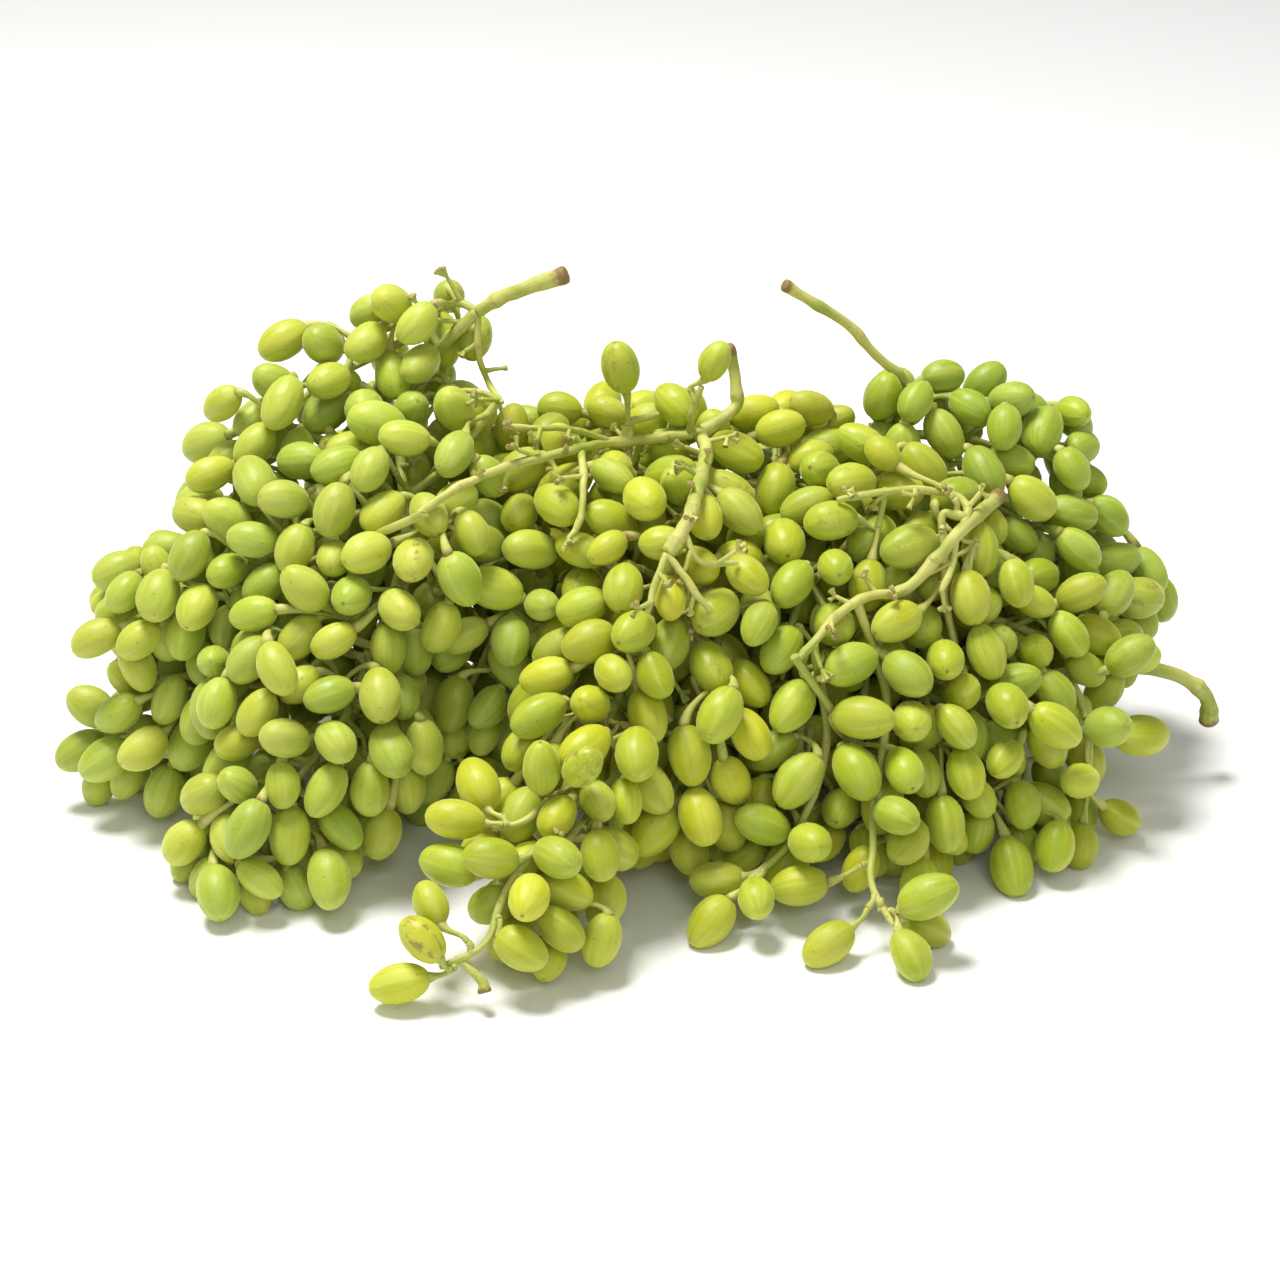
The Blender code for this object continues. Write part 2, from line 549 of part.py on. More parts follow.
class Shoulder:
    """A side stem whose narrow collars have one face per side, and from each such face one stalk with a berry."""

    def __init__(self, route):
        path = smooth_route(route, 200)
        along = length_along(path)
        count = max(2, round(along[-1] / COLLAR_SPACING))
        at = np.linspace(STEM_END_MARGIN, along[-1] - STEM_END_MARGIN, count)
        middles = np.stack([np.interp(at, along, path[:, k]) for k in range(3)], axis=1)
        sides, ups = parallel_frames(middles)
        turn = math.tau * np.arange(SIDE_STEM_SIDES) / SIDE_STEM_SIDES
        ring = np.cos(turn)[None, :, None] * sides[:, None] + np.sin(turn)[None, :, None] * ups[:, None]
        collar = middles[:, None] + ring * SIDE_STEM_RADIUS
        half_height = np.cross(sides, ups)[:, None] * COLLAR_HALF_HEIGHT
        self.rings = np.stack([collar - half_height, collar + half_height], axis=1).reshape(2 * count, -1, 3)
        self.stalks = {}  # (collar, side) -> (berry corners, the face its stalk meets, small ring on that face)
        corners, faces = self.stem_mesh()
        self.triangles = corners[np.array(faces)]  # of the side stem and of each berry given to it

    def roots(self):
        """Every free stalk face: its collar, side, middle and outward direction."""
        for collar in range(len(self.rings) // 2):
            for side in range(SIDE_STEM_SIDES):
                if (collar, side) not in self.stalks:
                    face = self.stalk_face(collar, side)
                    middle = face.mean(axis=0)
                    outwards = unit(np.cross(face[1] - face[0], face[2] - face[0]))
                    yield collar, side, middle, outwards

    def stalk_face(self, collar, side):
        low, high = self.rings[2 * collar], self.rings[2 * collar + 1]
        following = (side + 1) % SIDE_STEM_SIDES
        return np.array([low[side], low[following], high[following]])

    def stem_mesh(self):
        """Corners and faces of the closed side stem, without the faces that carry a stalk."""
        faces = []
        sides = SIDE_STEM_SIDES
        for row in range(len(self.rings) - 1):
            for side in range(sides):
                following = (side + 1) % sides
                a, b = row * sides + side, row * sides + following
                c, d = b + sides, a + sides
                taken = row % 2 == 0 and (row // 2, side) in self.stalks
                faces += [(a, c, d)] if taken else [(a, b, c), (a, c, d)]
        last = (len(self.rings) - 1) * sides
        for side in range(1, sides - 1):
            faces += [(0, side + 1, side), (last, last + side, last + side + 1)]
        return self.rings.reshape(-1, 3), faces

    def add_stalk(self, collar, side, stalk, triangles):
        self.stalks[collar, side] = stalk
        self.triangles = np.concatenate([self.triangles, triangles])

    def mesh_data(self):
        """Corners and faces of the whole shoulder."""
        stem_corners, faces = self.stem_mesh()
        corners, total = [stem_corners], len(stem_corners)
        for (collar, side), stalk in self.stalks.items():
            row = collar * 2 * SIDE_STEM_SIDES
            following = (side + 1) % SIDE_STEM_SIDES
            own = len(SOLID) + 3
            numbers = [*range(total, total + own), row + side, row + following, row + following + SIDE_STEM_SIDES]
            berry_and_stalk, stalk_faces = stalk_mesh(stalk, self.stalk_face(collar, side))
            corners.append(berry_and_stalk[:own])
            faces += [tuple(numbers[k] for k in face) for face in stalk_faces]
            total += own
        return np.concatenate(corners), faces


def stalk_mesh(stalk, root_corners):
    """Corners and faces of a berry and its stalk: the berry's corners, the neck's, then the three at the root."""
    berry, met, neck = stalk
    ring = [len(berry) + k for k in range(3)]
    root = [len(berry) + k for k in (5, 4, 3)]
    rim = started_nearest(SOLID_FACES[met], berry, neck)
    corners = np.concatenate([berry, neck, root_corners])
    faces = [tuple(face) for k, face in enumerate(SOLID_FACES) if k != met]
    return corners, faces + band(rim, ring, corners) + band(ring, root, corners)


def started_nearest(face, corners, others):
    """The face's corner numbers, started so that they lie nearest the others in turn."""
    costs = [((corners[np.roll(face, k)] - others) ** 2).sum() for k in range(3)]
    return np.roll(face, int(np.argmin(costs)))


def band(near, far, corners):
    """Six triangles between two three-cornered rings, each side split along its shorter diagonal."""
    faces = []
    for k in range(3):
        a, b, c, d = near[k], near[(k + 1) % 3], far[(k + 1) % 3], far[k]
        if np.linalg.norm(corners[a] - corners[c]) < np.linalg.norm(corners[b] - corners[d]):
            faces += [(a, b, c), (a, c, d)]
        else:
            faces += [(a, b, d), (b, c, d)]
    return faces


def pierces(first, second):
    """Whether an edge of each triangle of the first set passes through the triangle it is paired with."""
    normal = np.cross(second[:, 1] - second[:, 0], second[:, 2] - second[:, 0])
    found = np.zeros(len(first), bool)
    for k in range(3):
        start, end = first[:, k], first[:, (k + 1) % 3]
        above = ((start - second[:, 0]) * normal).sum(axis=1)
        below = ((end - second[:, 0]) * normal).sum(axis=1)
        opposite = above * below < 0
        meets = start + (end - start) * (above / np.where(opposite, above - below, 1))[:, None]
        for n in range(3):
            edge = second[:, (n + 1) % 3] - second[:, n]
            opposite &= (np.cross(edge, meets - second[:, n]) * normal).sum(axis=1) > 0
        found |= opposite
    return found


def crossing(new, old):
    """Whether any of the new triangles crosses an old one. Those that share a corner don't count."""
    low, high = new.min(axis=1)[:, None], new.max(axis=1)[:, None]
    i, j = np.nonzero(((old.min(axis=1) < high) & (old.max(axis=1) > low)).all(axis=2))
    apart = (np.abs(new[i][:, :, None] - old[j][:, None]).sum(axis=3) > SAME_CORNER).all(axis=(1, 2))
    a, b = new[i[apart]], old[j[apart]]
    return bool((pierces(a, b) | pierces(b, a)).any())


def find_stalk(shoulder, owner, berry, taken):
    """The best free stalk face for a berry, with the berry's corners turned to it, or None if nothing is clear."""
    place, axis = berry[:2]
    options = []
    for collar, side, middle, outwards in shoulder.roots():
        away = place - middle
        length = np.linalg.norm(away)
        facing = away @ outwards / length
        if facing > LEAST_FACING:
            shared = SHARED_GAIN * any(key[0] == collar for key in shoulder.stalks)
            cost = length - LINED_UP_GAIN * (away @ axis / length) - FACING_GAIN * facing - shared
            options.append((cost, collar, side, middle, outwards))
    options.sort(key=lambda option: option[:3])
    for _, collar, side, middle, outwards in options[:MOST_TRIES]:
        corners, face = berry_corners(berry, middle)
        foot = corners[SOLID_FACES[face]].mean(axis=0)
        upright = unit(np.cross(*np.diff(corners[SOLID_FACES[face]], axis=0)))
        from_middle = shoulder.stalk_face(collar, side)[::-1] - middle
        neck = foot + unit(from_middle - (from_middle @ upright)[:, None] * upright) * STALK_RADIUS
        clear_root = middle + unit(foot - middle) * ROOT_LENGTH
        if np.linalg.norm(foot - middle) < SHORTEST_STALK:
            continue
        beside_stem = taken.clearance(middle, clear_root, STALK_RADIUS, apart_from=owner)
        if min(beside_stem, taken.clearance(clear_root, foot, STALK_RADIUS)) < GAP:
            continue
        points, faces = stalk_mesh((corners, face, neck), shoulder.stalk_face(collar, side))
        triangles = points[np.array(faces)]
        if not crossing(triangles, np.concatenate([shoulder.triangles, triangles])):
            shoulder.add_stalk(collar, side, (corners, face, neck), triangles)
            return middle, foot
    return None


def choose_berries(heap, shoulders, side_routes):
    """Gives the outermost berries to their shoulders, one by one, where the berry and its stalk find clear room."""
    places, axes, half_length, half_width, owners = heap
    taken = Taken()
    taken.add_stems()
    for owner, route in enumerate(side_routes.values()):
        taken.add_path(route, SIDE_STEM_RADIUS, owner)
    reach = np.sqrt((half_length * axes[:, 2]) ** 2 + half_width**2 * (1 - axes[:, 2] ** 2))
    pressed = places[:, 2] - reach < -PRESS / 2
    in_spray = owners >= len(SHOULDERS)
    score = openness(places, half_width) + PRESSED_BERRIES_FIRST * pressed + in_spray
    made = 0
    for k in np.argsort(-score, kind="stable"):
        core = axes[k] * (half_length[k] - half_width[k])
        radius = half_width[k] * FACETED_SHARE
        if taken.clearance(places[k] - core, places[k] + core, radius) < GAP / 2:
            continue
        owner = owners[k]
        berry = (places[k], axes[k], half_length[k], half_width[k], pressed[k])
        stalk = find_stalk(shoulders[owner], owner, berry, taken)
        if stalk is None:
            continue
        root, foot = stalk
        taken.add((places[k] - core)[None], (places[k] + core)[None], radius, owner)
        taken.add(root[None], foot[None], STALK_RADIUS, owner)
        made += 1
        if made == BERRIES_IN_CAD:
            break
    return made


def finish_look(name, colour, roughness):
    look = bpy.data.materials.new(name)
    look.use_nodes = True
    shader = look.node_tree.nodes["Principled BSDF"]
    shader.inputs["Base Color"].default_value = (*colour, 1.0)
    shader.inputs["Roughness"].default_value = roughness
    shader.inputs["Metallic"].default_value = 0.0
    look.diffuse_color = (*colour, 1.0)
    return look


def place_object(name, corners, faces, origin, look):
    """A named object at its origin, from corners in world coordinates."""
    mesh = bpy.data.meshes.new(name)
    mesh.from_pydata((corners - origin).tolist(), [], [list(map(int, face)) for face in faces])
    mesh.materials.append(look)
    solid = bpy.data.objects.new(name, mesh)
    solid.location = origin
    bpy.context.scene.collection.objects.link(solid)
    return solid


def press_flat(solid):
    """Cuts off what reaches below the surface, and closes each cut with a flat face at z = 0."""
    shape = bmesh.new()
    shape.from_mesh(solid.data)
    geometry = shape.verts[:] + shape.edges[:] + shape.faces[:]
    surface = (0, 0, -solid.location.z)
    bmesh.ops.bisect_plane(
        shape, geom=geometry, plane_co=surface, plane_no=(0, 0, -1), clear_outer=True, dist=1e-6
    )
    rim = [edge for edge in shape.edges if edge.is_boundary]
    bmesh.ops.holes_fill(shape, edges=rim, sides=0)
    bmesh.ops.triangulate(shape, faces=shape.faces[:])
    bmesh.ops.recalc_face_normals(shape, faces=shape.faces[:])
    shape.to_mesh(solid.data)
    shape.free()


def stem_tube(name, route, radius_start, radius_end, look):
    """A closed tapering tube along the route."""
    rough = smooth_route(route, 60)
    count = max(4, round(length_along(rough)[-1] / STEM_RING_SPACING) + 1)
    path = smooth_route(route, count)
    sides, ups = parallel_frames(path)
    radius = np.linspace(radius_start, radius_end, count) / 1000
    turn = math.tau * np.arange(STEM_SIDES) / STEM_SIDES
    ring = np.cos(turn)[None, :, None] * sides[:, None] + np.sin(turn)[None, :, None] * ups[:, None]
    corners = (path[:, None] + ring * radius[:, None, None]).reshape(-1, 3)
    faces = [tuple(range(STEM_SIDES))[::-1], tuple((count - 1) * STEM_SIDES + k for k in range(STEM_SIDES))]
    for row in range(count - 1):
        for side in range(STEM_SIDES):
            a, b = row * STEM_SIDES + side, row * STEM_SIDES + (side + 1) % STEM_SIDES
            faces.append((a, b, b + STEM_SIDES, a + STEM_SIDES))
    return place_object(name, corners, faces, route[0], look)


def bunch_stem(bunch, stems, look):
    """One bunch's whole branching stem, its arms united with its main stem."""
    arms = [stem_tube(f"{bunch}_stem_{name}", *given, look) for name, given in stems.items()]
    stem = arms[0]
    stem.name = f"{bunch}_stem"
    for arm in arms[1:]:
        joint = stem.modifiers.new(arm.name, "BOOLEAN")
        joint.operation = "UNION"
        joint.object = arm
        arm.hide_render = True
        arm.display_type = "WIRE"
    return stem


def clear_scene():
    for old in list(bpy.data.objects):
        bpy.data.objects.remove(old, do_unlink=True)


def build_heap():
    clear_scene()
    side_routes = side_stem_routes()
    heap = set_out_berries(stem_obstacles(side_routes))
    shoulders = [Shoulder(side_routes[name]) for name in side_routes]
    made = choose_berries(heap, shoulders, side_routes)
    print(f"{len(heap[0])} berries in the heap, {made} of them as solids")
    looks = {bunch: finish_look(f"{bunch}_berries", *given) for bunch, given in BERRY_LOOKS.items()}
    stem_look = finish_look("green_stem", *STEM_LOOK)
    bunches = [given[0] for given in {**SHOULDERS, **SPRAYS}.values()]
    for (name, route), shoulder, bunch in zip(side_routes.items(), shoulders, bunches):
        corners, faces = shoulder.mesh_data()
        solid = place_object(name, corners, faces, route[0], looks[bunch])
        press_flat(solid)
    for bunch, stems in STEMS.items():
        bunch_stem(bunch, stems, stem_look)


build_heap()
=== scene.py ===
import math

import bpy
import numpy as np
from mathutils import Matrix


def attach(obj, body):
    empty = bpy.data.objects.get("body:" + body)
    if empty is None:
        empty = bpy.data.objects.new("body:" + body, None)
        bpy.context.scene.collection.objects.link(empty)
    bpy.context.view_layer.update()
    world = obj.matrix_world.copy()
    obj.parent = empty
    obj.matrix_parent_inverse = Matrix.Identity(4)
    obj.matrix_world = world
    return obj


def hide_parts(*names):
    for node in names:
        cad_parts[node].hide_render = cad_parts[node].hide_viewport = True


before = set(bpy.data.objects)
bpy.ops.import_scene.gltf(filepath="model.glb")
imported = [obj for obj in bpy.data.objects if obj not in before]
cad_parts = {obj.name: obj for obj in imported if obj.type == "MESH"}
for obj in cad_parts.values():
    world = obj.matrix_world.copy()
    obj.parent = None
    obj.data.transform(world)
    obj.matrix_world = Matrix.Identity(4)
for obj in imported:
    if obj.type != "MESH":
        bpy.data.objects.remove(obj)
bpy.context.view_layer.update()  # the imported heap: its shoulders, sprays and stems
print("frame loaded:", len(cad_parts), "nodes")

# How the berries are set out. These values and the routes below are the solid model's own.
layout = {
    "berryHalfLength": 0.0083,
    "berryHalfWidth": 0.0061,
    "spacing": 0.0147,  # from one berry to the next on a shoulder's outside
    "sizeSpread": 0.075,
    "sizeLimits": (0.82, 1.16),
    "lengthSpread": 0.04,
    "lengthLimits": (0.92, 1.1),
    "gap": 0.0003,
    "press": 0.0009,  # how far a lowest berry is pressed flat on the surface
    "sideStemRadius": 0.0012,
    "buried": 0.008,  # a berry deeper than this inside another shoulder isn't made
    "lowestMiddle": -0.002,  # nor one whose middle starts lower than this
    "lean": (0.45, 0.5, 0.45, 0.5),  # a long axis's shares outwards, along the shoulder, down and by chance
    "leastOutwards": 0.12,  # cosine between a long axis and the way outwards
    "scatter": 0.0012,  # by which chance moves a berry
    "endCap": 0.97,  # how far round a shoulder's rounded end the last berries go, as a sine
    "mostBackwards": -0.2,  # cosine of the sharpest bend where a side stem leaves the bunch's stem
    "settleSteps": 160,
    "berryPush": 0.38,  # share of an overlap between berries that one settling step takes away
    "stemPush": 0.3,
    "sprayHold": 0.15,  # share of its push by which a spray's berry moves
    "homePull": 0.02,  # share of the way back to its first place, in the first step
    "mostMove": 0.0015,  # in one step
    "berryReach": 0.024,  # how near a berry's neighbours are looked for
    "stemReach": 0.016,
    "seed": 7,
    "heapMiddle": (0.0027, -0.0095),  # of the heap's outline, in the numbers of the lists below
}
goldenAngle = math.pi * (3 - math.sqrt(5))


def mm(*points):
    # points given in millimetres, as metres from the origin
    places = np.array(points, float) / 1000
    places[:, :2] -= layout["heapMiddle"]
    return places


# Shoulders full of berries: bunch, side stem's route, outer radius in mm at its start and end, fullness.
shoulders = {
    "left_top_shoulder": (
        "left", mm((-67, 45, 145), (-80, 45, 138), (-101, 40, 128), (-118, 30, 115)), 16, 15, 0.80
    ),
    "left_crest": ("left", mm((-74, 45, 120), (-97, 38, 108), (-122, 28, 95)), 24, 22, 0.85),
    "left_upper": ("left", mm((-65, 15, 107), (-95, 5, 97), (-122, 5, 82), (-145, 8, 66)), 31, 20, 0.92),
    "left_wing": ("left", mm((-116, 10, 55), (-139, 8, 39), (-154, 8, 22)), 27, 19, 0.90),
    "left_face": ("left", mm((-64, -5, 90), (-85, -15, 74), (-107, -22, 54)), 30, 28, 0.95),
    "left_low": ("left", mm((-90, -28, 47), (-106, -38, 28), (-114, -45, 11)), 32, 26, 0.95),
    "left_inner": ("left", mm((-43, -2, 78), (-50, 0, 50), (-66, 3, 25)), 28, 24, 0.90),
    "middle_top_left": ("middle", mm((-13, 42, 103), (-41, 32, 100), (-65, 18, 93)), 24, 22, 0.82),
    "middle_top_right": ("middle", mm((0, 45, 96), (25, 40, 95), (51, 45, 96)), 27, 26, 0.90),
    "middle_top": ("middle", mm((-25, 14, 94), (-6, 0, 87)), 28, 28, 0.78),
    "middle_rear": ("middle", mm((-145, 42, 46), (-90, 55, 36), (-30, 62, 34)), 29, 30, 0.85),
    "front_upper": ("middle", mm((9, -8, 91), (0, -25, 72), (-9, -42, 54)), 29, 28, 0.90),
    "front_lower": (
        "middle", mm((-12, -50, 51), (-22, -65, 39), (-25, -80, 28), (-28, -92, 21)), 27, 18, 0.85
    ),
    "front_side": ("middle", mm((24, -18, 76), (19, -36, 52), (12, -42, 32)), 27, 24, 0.90),
    "centre_upper": ("centre", mm((68, 12, 92), (49, -8, 77), (43, -22, 57)), 27, 27, 0.85),
    "centre_front": ("centre", mm((48, -28, 57), (48, -38, 42), (40, -42, 27)), 26, 22, 0.90),
    "centre_low": ("centre", mm((74, -44, 31), (76, -58, 18)), 17, 15, 0.70),
    "centre_middle": ("centre", mm((71, -8, 64), (66, -40, 39)), 24, 24, 0.90),
    "centre_side": ("centre", mm((90, 8, 80), (89, -14, 53), (84, -32, 28)), 29, 28, 0.90),
    "back_top": ("back", mm((91, 49, 108), (107, 50, 106), (126, 50, 99)), 24, 22, 0.95),
    "back_side": ("back", mm((109, 40, 90), (132, 42, 73), (147, 46, 48)), 27, 22, 0.95),
    "back_crest": ("back", mm((82, 63, 82), (0, 60, 78), (-85, 55, 80)), 24, 24, 0.85),
    "back_rear": ("back", mm((115, 72, 34), (50, 70, 34), (-20, 66, 34)), 30, 30, 0.85),
    "far_upper": ("far", mm((107, 2, 66), (125, 8, 58), (139, 15, 53)), 25, 18, 0.90),
    "far_low": ("far", mm((109, -9, 44), (113, -18, 24), (114, -22, 11)), 28, 26, 0.92),
    "far_underside": ("far", mm((100, 30, 30), (20, 20, 30)), 28, 28, 0.80),
}

# Loose sprays: bunch, the side stem's route, and the middle of each of its few berries.
sprays = {
    "front_tip_spray": (
        "middle",
        mm((-30, -90, 37), (-39, -103, 29), (-44, -113, 19), (-57, -116, 13)),
        mm((-67, -116, 11), (-62, -112, 19), (-60, -102, 26), (-36, -112, 19),
           (-23, -104, 20), (-55, -92, 33), (-39, -98, 34), (-24, -98, 38)),
    ),
    "front_side_spray": (
        "middle",
        mm((-23, -68, 44), (-33, -84, 43), (-43, -84, 40)),
        mm((-53, -84, 42), (-47, -72, 46), (-28, -78, 57), (-17, -84, 61)),
    ),
    "left_lone_spray": ("middle", mm((-3, 26, 122), (1, 27, 123), (6, 28, 124)), mm((-6, 24, 141))),
    "right_lone_spray": (
        "middle",
        mm((15, 26, 120), (16, 24, 126), (19, 24, 135)),
        mm((23, 24, 143), (11, 30, 124)),
    ),
    "centre_drooping_spray": (
        "centre",
        mm((74, -36, 60), (72, -50, 46), (69, -62, 33), (69, -68, 24), (68, -78, 18), (74, -90, 11)),
        mm((55, -92, 6), (78, -98, 4), (84, -88, 18), (47, -72, 16), (84, -84, 4), (75, -68, 35)),
    ),
    "centre_low_spray": (
        "centre",
        mm((56, -42, 52), (54, -50, 40), (50, -56, 31), (43, -64, 22), (32, -72, 16)),
        mm((21, -80, 4), (34, -80, 15), (23, -68, 14), (41, -62, 28), (48, -70, 27)),
    ),
    "centre_hanging_spray": (
        "centre",
        mm((91, -8, 106), (92, -12, 96), (92, -16, 84), (95, -20, 70), (98, -23, 60), (99, -26, 52)),
        mm((84, -16, 97), (98, -32, 58), (74, 8, 117), (74, -30, 80), (86, -36, 48), (100, -34, 44)),
    ),
    "far_outer_spray": (
        "far",
        mm((135, -8, 47), (139, -16, 33), (137, -26, 18)),
        mm((143, -22, 41), (156, -8, 31), (132, -30, 26), (149, -20, 9), (135, -34, 3), (151, -6, 58)),
    ),
    "left_wing_spray": (
        "left",
        mm((-141, -1, 48), (-154, 2, 39), (-167, 4, 24)),
        mm((-171, 4, 35), (-175, 2, 20), (-172, 4, 7), (-155, -4, 28), (-158, 2, 45), (-149, 2, 11)),
    ),
    "left_upper_spray": (
        "left",
        mm((-126, 0, 74), (-139, 2, 76), (-152, 4, 72)),
        mm((-162, 6, 66), (-148, 4, 82), (-138, -6, 64)),
    ),
    "left_shoulder_spray": (
        "left",
        mm((-64, 50, 150), (-76, 51, 145), (-97, 48, 135), (-112, 42, 120)),
        mm((-77, 42, 154), (-98, 42, 142), (-115, 38, 129), (-118, 34, 118), (-127, 32, 111),
           (-64, 46, 143)),
    ),
}

clusters = {**shoulders, **sprays}

# Stems of each bunch: the route, then the radius in mm at its start and end. The first one has the cut end.
bunchStems = {
    "left": {
        "peduncle": (mm((-22, 30, 169), (-34, 32, 164), (-43, 36, 159), (-50, 38, 154)), 2.3, 2.0),
        "main": (
            mm((-50, 38, 154), (-62, 41, 141), (-71, 42, 130), (-75, 40, 120),
               (-74, 24, 107), (-72, 4, 92), (-79, -4, 67), (-88, -20, 49)),
            1.9, 1.3,
        ),
        "topArm": (mm((-50, 38, 154), (-56, 41, 156), (-64, 43, 152)), 1.2, 1.1),
        "backArm": (mm((-50, 38, 153), (-50, 36, 142), (-47, 36, 131), (-42, 20, 131)), 1.1, 0.8),
    },
    "middle": {
        "hook": (
            mm((27, 38, 143), (29, 38, 135), (30, 36, 129), (30, 34, 124), (25, 31, 121), (19, 28, 118)),
            1.7, 2.1,
        ),
        "leftArm": (
            mm((19, 28, 118), (5, 25, 117), (-9, 22, 117), (-21, 6, 121),
               (-42, -6, 120), (-56, -18, 118), (-67, -27, 113)),
            1.7, 1.2,
        ),
        "leftFork": (mm((-9, 22, 117), (-21, 13, 125), (-41, 5, 129)), 1.1, 0.9),
        "downFork": (mm((-18, 10, 120), (-17, -8, 117), (-18, -18, 109), (-23, -22, 100)), 1.2, 0.9),
        "main": (mm((19, 28, 118), (20, 10, 118), (17, -17, 118), (14, -29, 113), (8, -36, 106)), 1.9, 2.2),
        "frontLeftFork": (mm((8, -36, 106), (5, -41, 100), (2, -48, 92)), 1.2, 0.9),
        "frontRightFork": (mm((8, -36, 106), (13, -40, 100), (21, -44, 90)), 1.2, 0.9),
        "frontFarFork": (mm((13, -31, 111), (18, -36, 103), (29, -32, 101)), 1.0, 0.8),
        "hiddenRun": (
            mm((8, -36, 106), (10, -26, 84), (7, -40, 64), (-3, -55, 50), (-14, -70, 39), (-22, -86, 36)),
            1.8, 1.1,
        ),
    },
    "centre": {
        "main": (
            mm((111, 14, 103), (97, -12, 103), (88, -20, 96), (79, -24, 88),
               (69, -27, 88), (59, -35, 86), (52, -43, 81), (46, -48, 77)),
            2.1, 1.1,
        ),
        "upperArm": (
            mm((97, -12, 103), (99, -4, 107), (93, -1, 110), (80, -5, 113), (68, -9, 113), (59, -11, 112)),
            1.3, 1.0,
        ),
        "lowerArm": (mm((95, -14, 102), (94, -19, 95), (90, -25, 88)), 1.1, 0.9),
    },
    "back": {
        "main": (
            mm((44, 40, 162), (54, 42, 155), (65, 45, 147), (74, 47, 136),
               (83, 49, 127), (84, 49, 118), (83, 46, 108)),
            1.7, 1.3,
        ),
        "sideArm": (mm((83, 49, 127), (88, 50, 122), (95, 50, 120)), 1.1, 0.9),
    },
    "far": {
        "main": (
            mm((183, 22, 20), (182, 21, 28), (176, 20, 35), (162, 16, 42),
               (145, 12, 44), (134, 8, 45), (122, 0, 45)),
            2.7, 1.7,
        ),
        "lowerArm": (mm((138, 9, 45), (130, 2, 42), (128, -4, 36), (129, -8, 28)), 1.2, 1.0),
    },
}


def lengths(vectors):
    return np.linalg.norm(vectors, axis=-1)


def unit(vectors):
    return vectors / lengths(vectors)[..., None]


def smoothRoute(points, count):
    # Catmull-Rom curve through the points, read at equal steps of its parameter
    ends = np.vstack([2 * points[0] - points[1], points, 2 * points[-1] - points[-2]])
    spans = len(points) - 1
    along = np.linspace(0, spans, count)
    span = np.minimum(along.astype(int), spans - 1)
    t = (along - span)[:, None]
    before, start, end, after = (ends[span + k] for k in range(4))
    return 0.5 * (
        2 * start
        + (end - before) * t
        + (2 * before - 5 * start + 4 * end - after) * t**2
        + (3 * start - before - 3 * end + after) * t**3
    )


def lengthAlong(route):
    return np.concatenate([[0], np.cumsum(lengths(np.diff(route, axis=0)))])


def readAlong(values, along, at):
    # the rows of a path's values at the given lengths along it
    return np.stack([np.interp(at, along, values[:, k]) for k in range(3)], axis=1)


def acrossDirections(route):
    # unit tangent of the route, and two unit directions across it
    tangent = unit(np.gradient(route, axis=0))
    side = np.cross(tangent, (0.0, 0.0, 1.0))
    steep = lengths(side) < 0.2
    side[steep] = np.cross(tangent[steep], (0.0, 1.0, 0.0))
    side = unit(side)
    return tangent, side, np.cross(side, tangent)


def spiralBerries(route, radiusStart, radiusEnd, fullness, rng):
    # berries on the outside of a rounded sleeve round the route, on a golden-angle spiral, and their axes
    path = smoothRoute(route, 40)
    along = lengthAlong(path)
    tangent, side, up = acrossDirections(path)
    start = radiusStart / 1000 - layout["berryHalfWidth"]
    end = radiusEnd / 1000 - layout["berryHalfWidth"]
    middle = (start + end) / 2
    reach = along[-1] + 2 * middle
    count = round(fullness * math.tau * middle * reach / (layout["spacing"] ** 2 * math.sqrt(0.75)))
    turn = rng.random() * math.tau
    out, onwards, down, chance = layout["lean"]
    places, axes = [], []
    for i in range(count):
        at = -middle + reach * (i + 0.5) / count
        onPath = min(max(at, 0.0), along[-1])
        k = min(int(np.searchsorted(along, onPath)), len(path) - 1)
        angle = turn + i * goldenAngle
        over = max(-layout["endCap"], min(layout["endCap"], (at - onPath) / middle))
        ring = side[k] * math.cos(angle) + up[k] * math.sin(angle)
        outwards = unit(ring * math.sqrt(1 - over**2) + tangent[k] * over)
        radius = start + (end - start) * onPath / along[-1]
        places.append(path[k] + outwards * radius + rng.normal(0, layout["scatter"], 3))
        lean = out * outwards + onwards * tangent[k] - (0, 0, down)
        lean = unit(lean + chance * rng.normal(0, 1, 3))
        short = layout["leastOutwards"] - lean @ outwards
        axes.append(unit(lean + outwards * short) if short > 0 else lean)
    return places, axes


def sprayBerries(route, middles):
    # the given berries of a spray, each pointing away from a place a little back along its stem
    path = smoothRoute(route, 30)
    nearest = [int(lengths(path - middle).argmin()) for middle in middles]
    axes = [unit(middle - path[max(0, k - 1)]) for middle, k in zip(middles, nearest)]
    return list(middles), axes


def nearestPoints(p, d, halfP, q, e, halfQ):
    # the nearest points of pairs of short straight cores, each with a middle, a direction and a half length
    between = p - q
    cross = (d * e).sum(1)
    onD, onE = (d * between).sum(1), (e * between).sum(1)
    s = np.clip((cross * onE - onD) / np.maximum(1 - cross**2, 1e-6), -halfP, halfP)
    t = np.clip(onE + cross * s, -halfQ, halfQ)
    s = np.clip(cross * t - onD, -halfP, halfP)
    return p + d * s[:, None], q + e * t[:, None]


